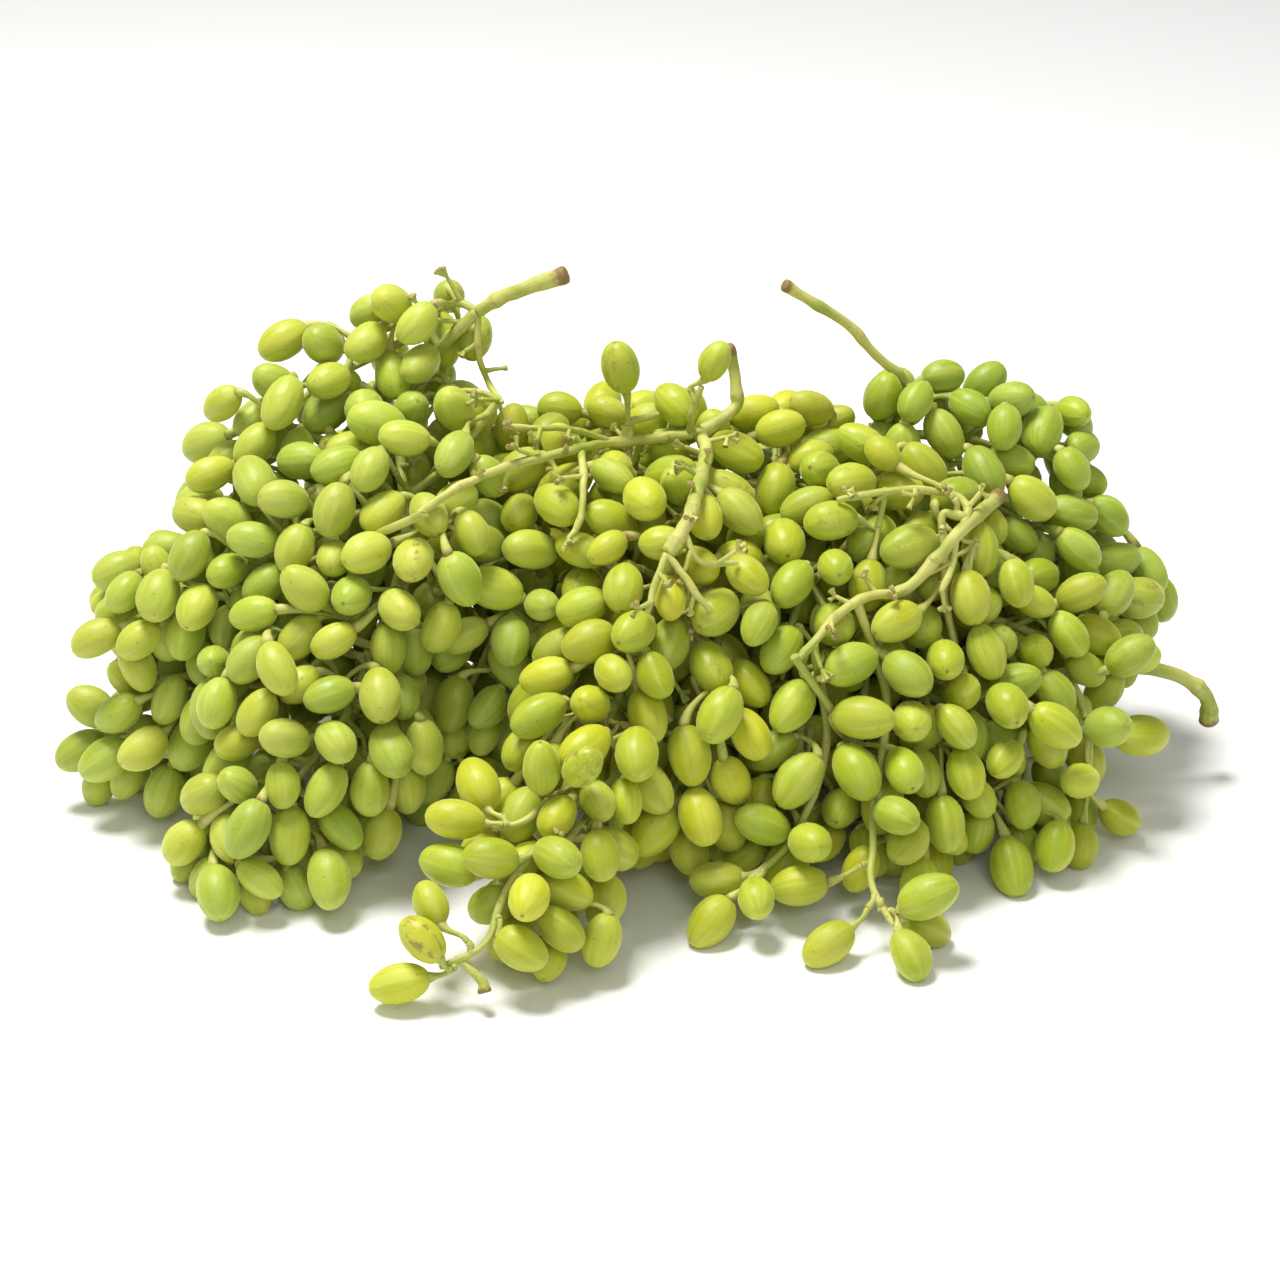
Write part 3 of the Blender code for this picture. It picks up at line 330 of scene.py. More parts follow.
class Taken:
    # the room that stems already hold, as straight cores with a radius and the index of their shoulder
    def __init__(self):
        self.rows = np.zeros((0, 9))

    def add(self, start, end, radius, owner=-1):
        middle, half = (start + end) / 2, lengths(end - start) / 2
        direction = (end - start) / np.maximum(2 * half, 1e-9)[:, None]
        radii, owners = np.full(len(middle), radius), np.full(len(middle), owner)
        self.rows = np.vstack([self.rows, np.column_stack([middle, direction, half, radii, owners])])

    def addPath(self, route, radius, owner=-1):
        path = smoothRoute(route, 24)
        self.add(path[:-1], path[1:], radius, owner)

    def clearance(self, start, end, radius, apartFrom=None):
        # the least distance left between this core and any held one, apart from one shoulder's
        rows = self.rows[self.rows[:, 8] != apartFrom]
        middle, half = (start + end) / 2, np.linalg.norm(end - start) / 2
        near = rows[lengths(rows[:, :3] - middle) < half + rows[:, 6] + radius + 0.01]
        if len(near) == 0:
            return 1.0
        size = len(near)
        direction = (end - start) / max(2 * half, 1e-9)
        a, b = nearestPoints(
            np.tile(middle, (size, 1)), np.tile(direction, (size, 1)), np.full(size, half),
            near[:, :3], near[:, 3:6], near[:, 6],
        )
        return (lengths(a - b) - near[:, 7]).min() - radius


def stemPath(stems):
    # points all along a bunch's stems, and the stem's radius at each
    points = [smoothRoute(route, 50) for route, _, _ in stems.values()]
    radii = [np.linspace(start, end, 50) / 1000 for _, start, end in stems.values()]
    return np.concatenate(points), np.concatenate(radii)


def ledBack(route, joint, radius):
    # the route with a new first point just off the stem at the joint
    away = np.linalg.norm(route[0] - joint)
    clear = radius + layout["sideStemRadius"] + 3 * layout["gap"]
    if away > clear + 0.004:
        return np.vstack([joint + unit(route[0] - joint) * clear, route])
    if away < clear:
        return np.vstack([joint + unit(route[1] - joint) * clear, route[1:]])
    return route


def sideStemRoutes():
    # each shoulder's and spray's stem, led back to its bunch's stems by the shortest way that is clear
    radius = layout["sideStemRadius"]
    taken = Taken()
    for stems in bunchStems.values():
        for route, start, end in stems.values():
            taken.addPath(route, np.linspace(start, end, 23) / 1000)
    for owner, (_, route, *_) in enumerate(clusters.values()):
        taken.addPath(route, radius, owner)
    routes, joints = {}, {}
    for owner, (name, (bunch, route, *_)) in enumerate(clusters.items()):
        path, radii = stemPath(bunchStems[bunch])
        onwards = unit(route[1] - route[0])
        between = route[0] - path
        bentBack = layout["mostBackwards"] > between @ onwards / lengths(between)
        for k in np.argsort(lengths(between) + bentBack, kind="stable"):
            routes[name] = ledBack(route, path[k], radii[k])
            joints[name] = path[k]
            way = smoothRoute(routes[name], 16)
            room = [taken.clearance(a, b, radius, apartFrom=owner) for a, b in zip(way, way[1:])]
            if min(room) > layout["gap"]:
                break
        taken.addPath(routes[name], radius, owner)
    return routes, joints


def stemObstacles(sideRoutes):
    # points with a radius all along every stem, which the berries keep clear of
    points, radii = map(list, zip(*(stemPath(stems) for stems in bunchStems.values())))
    for route in sideRoutes.values():
        points.append(smoothRoute(route, 40))
        radii.append(np.full(40, layout["sideStemRadius"]))
    return np.concatenate(points), np.concatenate(radii)


def depthInOtherShoulders(places, owners):
    # how deep each berry's middle lies inside the nearest other shoulder's outer surface
    deepest = np.full(len(places), -1.0)
    for index, (_, route, start, end, _) in enumerate(shoulders.values()):
        path = smoothRoute(route, 40)
        radius = np.linspace(start, end, 40) / 1000
        depth = (radius - lengths(places[:, None] - path)).max(axis=1)
        depth[owners == index] = -1.0
        deepest = np.maximum(deepest, depth)
    return deepest


def summed(index, pushes, count):
    return np.stack([np.bincount(index, pushes[:, k], count) for k in range(3)], axis=1)


def settle(places, axes, halfLength, halfWidth, fixed, obstacles):
    # moves the berries apart step by step until none presses into another, a stem or the surface
    home = places.copy()
    core = halfLength - halfWidth
    count, gap = len(places), layout["gap"]
    hold = np.where(fixed, layout["sprayHold"], 1.0)[:, None]
    stemPoints, stemRadii = obstacles
    floor = np.sqrt((halfLength * axes[:, 2]) ** 2 + halfWidth**2 * (1 - axes[:, 2] ** 2)) - layout["press"]
    for step in range(layout["settleSteps"]):
        if step % 8 == 0:
            near = lengths(places[:, None] - places) < layout["berryReach"]
            i, j = np.nonzero(np.triu(near, 1))
            nearStem = lengths(places[:, None] - stemPoints) < layout["stemReach"]
            m, n = np.nonzero(nearStem)
        a, b = nearestPoints(places[i], axes[i], core[i], places[j], axes[j], core[j])
        apart = a - b
        distance = lengths(apart) + 1e-9
        pushed = np.maximum(halfWidth[i] + halfWidth[j] + gap - distance, 0)
        push = apart * (layout["berryPush"] * pushed / distance)[:, None]
        move = summed(i, push, count) - summed(j, push, count)
        onCore = np.clip(((stemPoints[n] - places[m]) * axes[m]).sum(1), -core[m], core[m])
        apart = places[m] + axes[m] * onCore[:, None] - stemPoints[n]
        distance = lengths(apart) + 1e-9
        pushed = np.maximum(halfWidth[m] + stemRadii[n] + gap - distance, 0)
        move += summed(m, apart * (layout["stemPush"] * pushed / distance)[:, None], count)
        size = lengths(move)[:, None]
        move *= np.minimum(1, layout["mostMove"] / np.maximum(size, 1e-9))
        back = (home - places) * layout["homePull"] * (1 - step / layout["settleSteps"])
        places = places + move * hold + back
        places[:, 2] = np.maximum(places[:, 2], floor)
        places = np.round(places, 7)
    return places


def setOutBerries(obstacles):
    # middles, axes, half lengths, half widths, and the index of each berry's shoulder
    rng = np.random.default_rng(layout["seed"])
    places, axes, owners = [], [], []
    for index, (name, (_, route, *rest)) in enumerate(clusters.items()):
        if name in sprays:
            newPlaces, newAxes = sprayBerries(route, *rest)
        else:
            newPlaces, newAxes = spiralBerries(route, *rest, rng)
        places += newPlaces
        axes += newAxes
        owners += [index] * len(newPlaces)
    places, axes, owners = np.array(places), np.array(axes), np.array(owners)
    inSpray = owners >= len(shoulders)
    buried = depthInOtherShoulders(places, owners) > layout["buried"]
    kept = inSpray | ~(buried | (places[:, 2] < layout["lowestMiddle"]))
    places, axes, owners, inSpray = places[kept], axes[kept], owners[kept], inSpray[kept]
    size = rng.normal(1, layout["sizeSpread"], len(places)).clip(*layout["sizeLimits"])
    stretch = rng.normal(1, layout["lengthSpread"], len(places)).clip(*layout["lengthLimits"])
    halfWidth = layout["berryHalfWidth"] * size
    halfLength = layout["berryHalfLength"] * size * stretch
    places, axes = np.round(places, 6), np.round(axes, 6)
    axes = unit(axes)
    places = settle(places, axes, halfLength, halfWidth, inSpray, obstacles)
    return places, axes, halfLength, halfWidth, owners


sideRoutes, sideJoints = sideStemRoutes()
places, axes, halfLength, halfWidth, owners = setOutBerries(stemObstacles(sideRoutes))
print("berries set out:", len(places))


# Meshes: every berry and every stem is a grid wrapped round an axis and closed by a point at both ends.

def wrappedGrid(rings, around):
    # Corners and sizes of the faces of such a grid, and each corner's place round (0..1) and along (0..1).
    # Points come in this order: start point, then ring after ring, then end point.
    j = np.arange(around)
    inRings = 1 + np.arange(rings * around).reshape(rings, around)
    index = np.vstack([0 * j, inRings, 0 * j + 1 + rings * around])
    after = np.roll(index, -1, axis=1)
    corners = np.stack([index[:-1], after[:-1], after[1:], index[1:]], axis=2)
    places = np.zeros((rings + 1, around, 4, 2))
    places[..., 0] = np.stack([j, j + 1, j + 1, j], axis=1)
    places[..., 1] = (np.arange(rings + 1)[:, None] + (0, 0, 1, 1))[:, None] / (rings + 1)
    # at both ends the faces are triangles, whose point lies midway round
    places[0, :, 0, 0] += 0.5
    places[-1, :, 2, 0] -= 0.5
    places[..., 0] /= around
    kept = np.ones(corners.shape, bool)
    kept[0, :, 1] = kept[-1, :, 3] = False
    return corners[kept], kept.sum(axis=2).ravel(), places[kept]


def copies(grid, points, **values):
    # one part of a mesh: the same grid for each row of points, and named values, one per copy or per point
    corners, sizes, uv = grid
    count, perCopy = points.shape[:2]
    shift = np.repeat(np.arange(count) * perCopy, len(corners))
    spread = {
        name: np.repeat(value, perCopy) if value.size == count else value.ravel()
        for name, value in values.items()
    }
    return {
        "points": points.reshape(-1, 3),
        "corners": np.tile(corners, count) + shift,
        "sizes": np.tile(sizes, count),
        "uv": np.tile(uv, (count, 1)),
        "values": spread,
    }


def makePiece(name, parts, material):
    # puts the parts into one mesh object at the origin, shaded smooth
    starts = np.cumsum([0] + [len(part["points"]) for part in parts[:-1]])
    points, sizes, uv = (
        np.concatenate([part[key] for part in parts]) for key in ("points", "sizes", "uv")
    )
    corners = np.concatenate([part["corners"] + start for part, start in zip(parts, starts)])
    mesh = bpy.data.meshes.new(name)
    mesh.vertices.add(len(points))
    mesh.vertices.foreach_set("co", points.astype(np.float32).ravel())
    mesh.loops.add(len(corners))
    mesh.loops.foreach_set("vertex_index", corners.astype(np.int32))
    mesh.polygons.add(len(sizes))
    mesh.polygons.foreach_set("loop_start", np.concatenate([[0], np.cumsum(sizes)[:-1]]).astype(np.int32))
    mesh.update(calc_edges=True)
    mesh.uv_layers.new(name="skin").data.foreach_set("uv", uv.astype(np.float32).ravel())
    for value in parts[0]["values"]:
        numbers = np.concatenate([part["values"][value] for part in parts])
        mesh.attributes.new(value, "FLOAT", "POINT").data.foreach_set("value", numbers.astype(np.float32))
    mesh.validate()
    mesh.shade_smooth()
    mesh.materials.append(material)
    piece = bpy.data.objects.new(name, mesh)
    bpy.context.scene.collection.objects.link(piece)
    smooth = piece.modifiers.new("smooth", "SUBSURF")
    smooth.levels = smooth.render_levels = 1
    return piece


def randomFrames(axes, turns):
    # two unit directions across each axis, turned round it by the given angles
    side = unit(np.cross(axes, np.where(np.abs(axes[:, 2:]) < 0.8, (0.0, 0.0, 1.0), (1.0, 0.0, 0.0))))
    up = np.cross(axes, side)
    c, s = np.cos(turns)[:, None], np.sin(turns)[:, None]
    return side * c + up * s, up * c - side * s


berryShape = {
    "around": 9,
    "rings": 5,
    "slimness": 0.95,
    "egg": 0.05,  # how much fuller one end may be than the other
    "oval": 0.03,  # how far a cross-section may be from round
    "bow": 0.0004,  # how far the long axis may bend
    "dimple": 0.0002,  # at the stalk
    "nub": 0.0002,  # at the tip, where the flower was
    "deepest": -0.0006,  # a cage point may lie this far under the surface the heap rests on
}


def berryPoints(places, axes, halfLength, halfWidth, rng):
    # Each berry: rings at equal polar angles round its axis, on a body whose radius is sin(angle), a little
    # fuller at one end and oval across, from the stalk to the tip. The cage is larger than the berry by what
    # subdivision takes off it.
    around, rings, count = berryShape["around"], berryShape["rings"], len(places)
    polar = math.pi * np.arange(1, rings + 1) / (rings + 1)
    angle = math.tau * np.arange(around) / around
    shrinkAround = (2 + math.cos(math.tau / around)) / 3
    shrinkAlong = (2 + math.cos(math.pi / (rings + 1))) / 3
    across, up = randomFrames(axes, rng.uniform(0, math.tau, count))
    egg = rng.normal(0, berryShape["egg"], (count, 1)).clip(-0.09, 0.09)
    oval = rng.normal(0, berryShape["oval"], (count, 1, 1)).clip(-0.06, 0.06)
    phase = rng.uniform(0, math.tau, (count, 1, 1))
    bow = rng.normal(0, berryShape["bow"], (count, 1))
    along = -np.cos(polar)
    radius = berryShape["slimness"] * halfWidth[:, None] * np.sin(polar) * (1 + egg * along)
    radius = radius / shrinkAround / shrinkAlong
    radius = radius[:, :, None] * (1 + oval * np.cos(2 * angle + phase))
    spoke = np.cos(angle)[:, None] * across[:, None] + np.sin(angle)[:, None] * up[:, None]
    core = halfLength[:, None] * along / shrinkAlong
    core = core[..., None] * axes[:, None] + (bow * (1 - along**2))[..., None] * across[:, None]
    ring = radius[..., None] * spoke[:, None] + core[:, :, None]
    reach = halfLength[:, None] / shrinkAlong
    stalkEnd = -axes * (reach - berryShape["dimple"])
    tip = axes * (reach + berryShape["nub"])
    points = np.concatenate([stalkEnd[:, None], ring.reshape(count, -1, 3), tip[:, None]], axis=1)
    points = points + places[:, None]
    points[:, :, 2] = np.maximum(points[:, :, 2], berryShape["deepest"])
    return points


unevenness = 0.05  # share by which a tube's radius varies


def tubePoints(routes, radii, around, rng):
    # tubes: at each step of each route a slightly uneven ring across it, turned little from one to the next
    count, rings = routes.shape[:2]
    tangent = unit(np.gradient(routes, axis=1))
    side = unit(np.cross(tangent[:, 0], (0.31, 0.17, 0.93)))
    sides = [side]
    for step in range(1, rings):
        side = unit(side - tangent[:, step] * (side * tangent[:, step]).sum(1, keepdims=True))
        sides.append(side)
    sides = np.stack(sides, axis=1)
    ups = np.cross(tangent, sides)
    angle = math.tau * np.arange(around) / around
    radius = np.repeat(radii[..., None], around, axis=2) / ((2 + math.cos(math.tau / around)) / 3)
    radius = radius * (1 + rng.normal(0, unevenness, (count, rings, around)))
    spoke = np.cos(angle)[:, None] * sides[:, :, None] + np.sin(angle)[:, None] * ups[:, :, None]
    ring = routes[:, :, None] + radius[..., None] * spoke
    return np.concatenate([routes[:, :1], ring.reshape(count, -1, 3), routes[:, -1:]], axis=1)


def tubePart(points, dry, around):
    # tubes with these points as one part of a mesh, each ring as dry as given
    perPoint = np.concatenate([dry[:, :1], np.repeat(dry, around, axis=1), dry[:, -1:]], axis=1)
    return copies(wrappedGrid(dry.shape[1], around), points, dry=perPoint)


def hump(x, width):
    return np.exp(-((x / width) ** 2))


# Materials

def fill(tree, socket, value):
    # links a socket to another one, or gives it a value; a colour is given without its opacity
    if isinstance(value, bpy.types.NodeSocket):
        tree.links.new(value, socket)
    else:
        socket.default_value = (*value, 1.0) if socket.type == "RGBA" else value


def makeGroup(name, inputs, output):
    # an empty node group with float inputs and one float output, its input sockets and its output socket
    group = bpy.data.node_groups.new(name, "ShaderNodeTree")
    for socketName, value in inputs.items():
        socket = group.interface.new_socket(socketName, in_out="INPUT", socket_type="NodeSocketFloat")
        socket.default_value = value
    group.interface.new_socket(output, in_out="OUTPUT", socket_type="NodeSocketFloat")
    return group, group.nodes.new("NodeGroupInput").outputs, group.nodes.new("NodeGroupOutput").inputs[0]


def fillInputs(tree, node, **inputs):
    # a node's inputs by name, with _ for a space
    for key, value in inputs.items():
        fill(tree, node.inputs[key.replace("_", " ")], value)


def addNode(tree, kind, settings=None, **inputs):
    node = tree.nodes.new(f"ShaderNode{kind}")
    for setting, value in (settings or {}).items():
        setattr(node, setting, value)
    fillInputs(tree, node, **inputs)
    return node


def mathNode(tree, operation, *values, clamp=False):
    node = addNode(tree, "Math", {"operation": operation, "use_clamp": clamp})
    for socket, value in zip(node.inputs, values):
        fill(tree, socket, value)
    return node.outputs[0]


def times(tree, first, second):
    return mathNode(tree, "MULTIPLY", first, second)


def mixColour(tree, factor, first, second, blend="MIX"):
    mix = addNode(tree, "Mix", {"data_type": "RGBA", "blend_type": blend})
    for index, value in ((0, factor), (6, first), (7, second)):
        fill(tree, mix.inputs[index], value)
    return mix.outputs[2]


def stepUp(tree, value, low, high):
    # 0 below low, 1 above high, smooth between
    settings = {"interpolation_type": "SMOOTHSTEP"}
    return addNode(tree, "MapRange", settings, Value=value, From_Min=low, From_Max=high).outputs["Result"]


def noise(tree, place, scale, detail, roughness=0.5):
    node = addNode(tree, "TexNoise", Vector=place, Scale=scale, Detail=detail, Roughness=roughness)
    return node.outputs["Fac"]


def objectPlace(tree):
    return tree.nodes.new("ShaderNodeTexCoord").outputs["Object"]


def skinPlace(tree):
    # the place on the piece's own surface: X round it, Y from its start to its end
    uv = addNode(tree, "UVMap", {"uv_map": "skin"}).outputs["UV"]
    return addNode(tree, "SeparateXYZ", Vector=uv).outputs


def attribute(tree, name):
    return addNode(tree, "Attribute", {"attribute_name": name}).outputs["Fac"]


def makeBloomGroup():
    # cloudy patches of the skin's pale waxy bloom, rubbed off here and there
    group, given, out = makeGroup("waxyBloom", {"Patch Scale": 90.0, "Rubbed": 0.45}, "Mask")
    place = objectPlace(group)
    broad = noise(group, place, given["Patch Scale"], 3.0, 0.6)
    both = mathNode(group, "MULTIPLY_ADD", noise(group, place, 900.0, 2.0, 0.7), 0.35, broad)
    above = mathNode(group, "SUBTRACT", both, given["Rubbed"])
    group.links.new(stepUp(group, above, 0.0, 0.42), out)
    return group


def makeSpeckGroup():
    # scattered small specks: where a cell's middle is near, and the cell's own chance is high
    group, given, out = makeGroup("smallSpecks", {"Scale": 320.0, "Size": 0.16, "Share": 0.5}, "Mask")
    cells = addNode(group, "TexVoronoi", Vector=objectPlace(group), Scale=given["Scale"])
    distance = cells.outputs["Distance"]
    near = mathNode(group, "LESS_THAN", distance, given["Size"])
    chance = addNode(group, "SeparateColor", Color=cells.outputs["Color"]).outputs["Red"]
    chosen = mathNode(group, "LESS_THAN", chance, given["Share"])
    soft = mathNode(group, "SUBTRACT", 1.0, mathNode(group, "DIVIDE", distance, given["Size"]))
    mask = mathNode(group, "MULTIPLY", times(group, near, chosen), times(group, soft, 2.0), clamp=True)
    group.links.new(mask, out)
    return group


def makeStreakGroup():
    # faint streaks from one end of the piece's own surface to the other
    group, given, out = makeGroup("endToEndStreaks", {"Around": 9.0, "Along": 1.2, "Turn": 0.0}, "Streak")
    skin = skinPlace(group)
    angle = times(group, skin["X"], math.tau)
    x = times(group, mathNode(group, "COSINE", angle), given["Around"])
    y = times(group, mathNode(group, "SINE", angle), given["Around"])
    place = addNode(group, "CombineXYZ", X=x, Y=y, Z=times(group, skin["Y"], given["Along"])).outputs[0]
    streaks = addNode(
        group, "TexNoise", {"noise_dimensions": "4D"}, Vector=place, W=given["Turn"], Scale=1.0, Detail=2.0,
        Roughness=0.55,
    )
    group.links.new(streaks.outputs["Fac"], out)
    return group


bloomGroup, speckGroup, streakGroup = makeBloomGroup(), makeSpeckGroup(), makeStreakGroup()


def placeGroup(tree, group, **inputs):
    return addNode(tree, "Group", {"node_tree": group}, **inputs).outputs[0]


def newMaterial(name):
    material = bpy.data.materials.new(name)
    material.use_nodes = True
    return material, material.node_tree, material.node_tree.nodes["Principled BSDF"]


skinLook = {
    # bunch: fresh colour, yellower and riper colour
    # the left bunch's colours are lighter, partly as painted light for the light it gets from the upper left
    # and partly for its paler waxy bloom
    "left": ((0.34, 0.45, 0.040), (0.52, 0.55, 0.050)),
    "middle": ((0.37, 0.45, 0.018), (0.58, 0.57, 0.014)),
    "centre": ((0.33, 0.43, 0.018), (0.53, 0.53, 0.014)),
    "back": ((0.27, 0.39, 0.022), (0.44, 0.50, 0.022)),
    "far": ((0.31, 0.42, 0.015), (0.50, 0.52, 0.014)),
    "unevenRipeness": 0.9,  # how much ripeness varies on one berry
    "bloomColour": (0.66, 0.71, 0.22),
    "bloomStrength": 0.26,
    "veinColour": (0.64, 0.68, 0.14),
    "veinStrength": 0.27,
    "betweenVeins": (0.62, 0.74, 0.40),  # multiplies the colour
    "betweenStrength": 0.28,
    "speckColour": (0.22, 0.15, 0.03),
    "speckStrength": 0.55,
    "tipColour": (0.16, 0.09, 0.02),
    "tipEdges": (0.955, 0.985),  # where the dark tip starts and is full, along the berry
    "stalkEndColour": (0.50, 0.54, 0.10),
    "stalkEndEdges": (0.86, 0.97),  # counted from the tip
    "scarColour": (0.25, 0.15, 0.05),
    "scarStrength": 0.75,
    "roughness": 0.36,
    "bloomRoughness": 0.55,
    "glow": 0.30,  # how much light goes through the flesh
    "glowDepth": 0.004,
    "glowReach": (1.0, 0.9, 0.25),  # of red, green and blue, as shares of the depth
    "rim": 0.45,  # pale bloom seen at a slant
    "rimColour": (0.92, 0.96, 0.35),
    "shine": 0.38,
    "bump": 0.18,
}


def makeSkin(bunch):
    # the berries' skin: fresh to ripe by berry, veins, bloom, specks, a brown tip and an odd scar
    look = skinLook
    fresh, ripe = look[bunch]
    material, tree, shader = newMaterial(f"{bunch} bunch skin")
    tone = attribute(tree, "tone")
    place = objectPlace(tree)
    streak = placeGroup(tree, streakGroup, Around=3.2, Along=0.8, Turn=times(tree, tone, 40.0))
    cloud = mathNode(tree, "SUBTRACT", noise(tree, place, 70.0, 2.0), 0.5)
    ripeness = mathNode(tree, "ADD", tone, times(tree, cloud, look["unevenRipeness"]), clamp=True)
    colour = mixColour(tree, ripeness, fresh, ripe)
    veins = times(tree, stepUp(tree, streak, 0.50, 0.66), look["veinStrength"])
    colour = mixColour(tree, veins, colour, look["veinColour"])
    gaps = mathNode(tree, "SUBTRACT", 1.0, stepUp(tree, streak, 0.34, 0.50))
    gaps = times(tree, gaps, look["betweenStrength"])
    colour = mixColour(tree, gaps, colour, look["betweenVeins"], "MULTIPLY")
    colour = addNode(tree, "HueSaturation", Color=colour, Value=attribute(tree, "light")).outputs["Color"]
    bloom = placeGroup(tree, bloomGroup, Patch_Scale=95.0, Rubbed=0.42)
    bloom = times(tree, bloom, attribute(tree, "bloom"))
    colour = mixColour(tree, times(tree, bloom, look["bloomStrength"]), colour, look["bloomColour"])
    specks = placeGroup(tree, speckGroup, Scale=300.0, Size=0.13, Share=0.35)
    colour = mixColour(tree, times(tree, specks, look["speckStrength"]), colour, look["speckColour"])
    along = skinPlace(tree)["Y"]
    tip = times(tree, stepUp(tree, along, *look["tipEdges"]), attribute(tree, "tipped"))
    colour = mixColour(tree, tip, colour, look["tipColour"])
    stalkEnd = stepUp(tree, mathNode(tree, "SUBTRACT", 1.0, along), *look["stalkEndEdges"])
    colour = mixColour(tree, times(tree, stalkEnd, 0.5), colour, look["stalkEndColour"])
    blotches = stepUp(tree, noise(tree, place, 260.0, 4.0, 0.7), 0.50, 0.62)
    scar = times(tree, attribute(tree, "scar"), blotches)
    scar = times(tree, scar, stepUp(tree, streak, 0.45, 0.62))
    colour = mixColour(tree, times(tree, scar, look["scarStrength"]), colour, look["scarColour"])
    dull, waxy = look["roughness"], look["bloomRoughness"]
    roughness = addNode(tree, "MapRange", Value=bloom, To_Min=dull, To_Max=waxy)
    relief = mathNode(tree, "ADD", noise(tree, place, 420.0, 3.0, 0.6), times(tree, streak, 0.6))
    bump = addNode(tree, "Bump", Height=relief, Strength=look["bump"], Distance=0.001)
    fillInputs(
        tree, shader, Base_Color=colour, Roughness=roughness.outputs["Result"],
        Normal=bump.outputs["Normal"], Specular_IOR_Level=look["shine"],
        Subsurface_Weight=look["glow"], Subsurface_Radius=look["glowReach"],
        Subsurface_Scale=look["glowDepth"], Sheen_Weight=look["rim"],
        Sheen_Roughness=0.35, Sheen_Tint=look["rimColour"],
    )
    return material


stemLook = {
    "green": (0.36, 0.42, 0.06),
    "pale": (0.58, 0.57, 0.15),
    "veinColour": (0.68, 0.66, 0.25),
    "veinStrength": 0.4,
    "brown": (0.26, 0.165, 0.05),
    "unevenDryness": 0.9,
    "roughness": 0.58,
    "bump": 0.35,
}


def makeStem():
    # stems: green to straw in patches, streaked, brown at knots, berry ends and cuts
    look = stemLook
    material, tree, shader = newMaterial("bunch stem")
    place = objectPlace(tree)
    streak = placeGroup(tree, streakGroup, Around=1.6, Along=7.0, Turn=0.0)
    patches = stepUp(tree, noise(tree, place, 60.0, 3.0), 0.35, 0.65)
    colour = mixColour(tree, patches, look["green"], look["pale"])
    veins = times(tree, stepUp(tree, streak, 0.50, 0.66), look["veinStrength"])
    colour = mixColour(tree, veins, colour, look["veinColour"])
    grain = noise(tree, place, 500.0, 3.0, 0.7)
    uneven = times(tree, mathNode(tree, "SUBTRACT", grain, 0.5), look["unevenDryness"])
    dried = mathNode(tree, "ADD", attribute(tree, "dry"), uneven)
    colour = mixColour(tree, stepUp(tree, dried, 0.35, 0.85), colour, look["brown"])
    specks = placeGroup(tree, speckGroup, Scale=420.0, Size=0.2, Share=0.3)
    colour = mixColour(tree, times(tree, specks, 0.5), colour, look["brown"])
    relief = mathNode(tree, "ADD", grain, streak)
    bump = addNode(tree, "Bump", Height=relief, Strength=look["bump"], Distance=0.0006)
    fillInputs(
        tree, shader, Base_Color=colour, Roughness=look["roughness"], Normal=bump.outputs["Normal"],
        Subsurface_Weight=0.15, Subsurface_Radius=(1.0, 0.8, 0.3), Subsurface_Scale=0.002,
    )
    return material


skins = {bunch: makeSkin(bunch) for bunch in bunchStems}
stemMaterial = makeStem()
print("materials made")


# Berries: one piece for each shoulder and spray

berryLook = {
    "toneMiddle": 0.42,  # 0 fresh green, 1 ripe yellow
    "toneSpread": 0.24,
    "lightSpread": 0.07,
    "scarShare": 0.03,  # of the berries have a scar
    "scarredSprays": ("left_lone_spray",),
}

berryGrid = wrappedGrid(berryShape["rings"], berryShape["around"])
lookRng = np.random.default_rng(layout["seed"] + 1)
for owner, (name, (bunch, *_)) in enumerate(clusters.items()):
    own = owners == owner
    count = int(own.sum())
    points = berryPoints(places[own], axes[own], halfLength[own], halfWidth[own], lookRng)
    part = copies(
        berryGrid,
        points,
        tone=lookRng.normal(berryLook["toneMiddle"], berryLook["toneSpread"], count).clip(0, 1),
        light=lookRng.normal(1, berryLook["lightSpread"], count).clip(0.82, 1.15),
        bloom=lookRng.uniform(0.35, 1.0, count),
        scar=(lookRng.random(count) < berryLook["scarShare"]) + float(name in berryLook["scarredSprays"]),
        tipped=lookRng.uniform(0, 0.9, count) ** 2,
    )
    piece = makePiece(f"{name}_berries", [part], skins[bunch])
    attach(piece, "root")
    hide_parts(name)
print("berries made")


# Stalks, branchlets and side stems: one piece for each shoulder and spray

stalkShape = {
    "around": 6,
    "rings": 6,
    "radius": 0.00075,
    "rootFlare": 0.55,  # share the stalk is thicker by where it leaves its branchlet
    "cushion": 0.0021,  # radius of the swollen end that the berry sits on
    "intoBerry": 0.0012,
    "branchletRadius": 0.00095,
    # berries to a branchlet, and how far it reaches from the side stem towards its berry
    "inShoulder": (3, 0.52),
    "inSpray": (1, 0.22),
    "lead": 0.006,  # how far before the nearest place a branchlet leaves the side stem
    "scatter": 0.001,  # of a branchlet's end
    "bend": 0.10,  # share of its length
    "sideRings": 26,
    "tipRadius": 0.0009,
}


def bezier(start, startWay, endWay, end, count):
    # cubic curves between rows of points: the four points weighted by (1-t)^3, 3t(1-t)^2, 3t^2(1-t), t^3
    t = np.linspace(0, 1, count)[None, :, None]
    start, startWay, endWay, end = (p[:, None] for p in (start, startWay, endWay, end))
    return (1 - t) ** 3 * start + 3 * t * (1 - t) ** 2 * startWay + 3 * t**2 * (1 - t) * endWay + t**3 * end


def nearestOn(path, points, lead):
    # a place on the path for each point, a little before the nearest, so that growth slants onwards
    along = lengthAlong(path)
    nearest = lengths(points[:, None] - path).argmin(axis=1)
    before = np.maximum(along[nearest] - lead, 0)
    return readAlong(path, along, before)


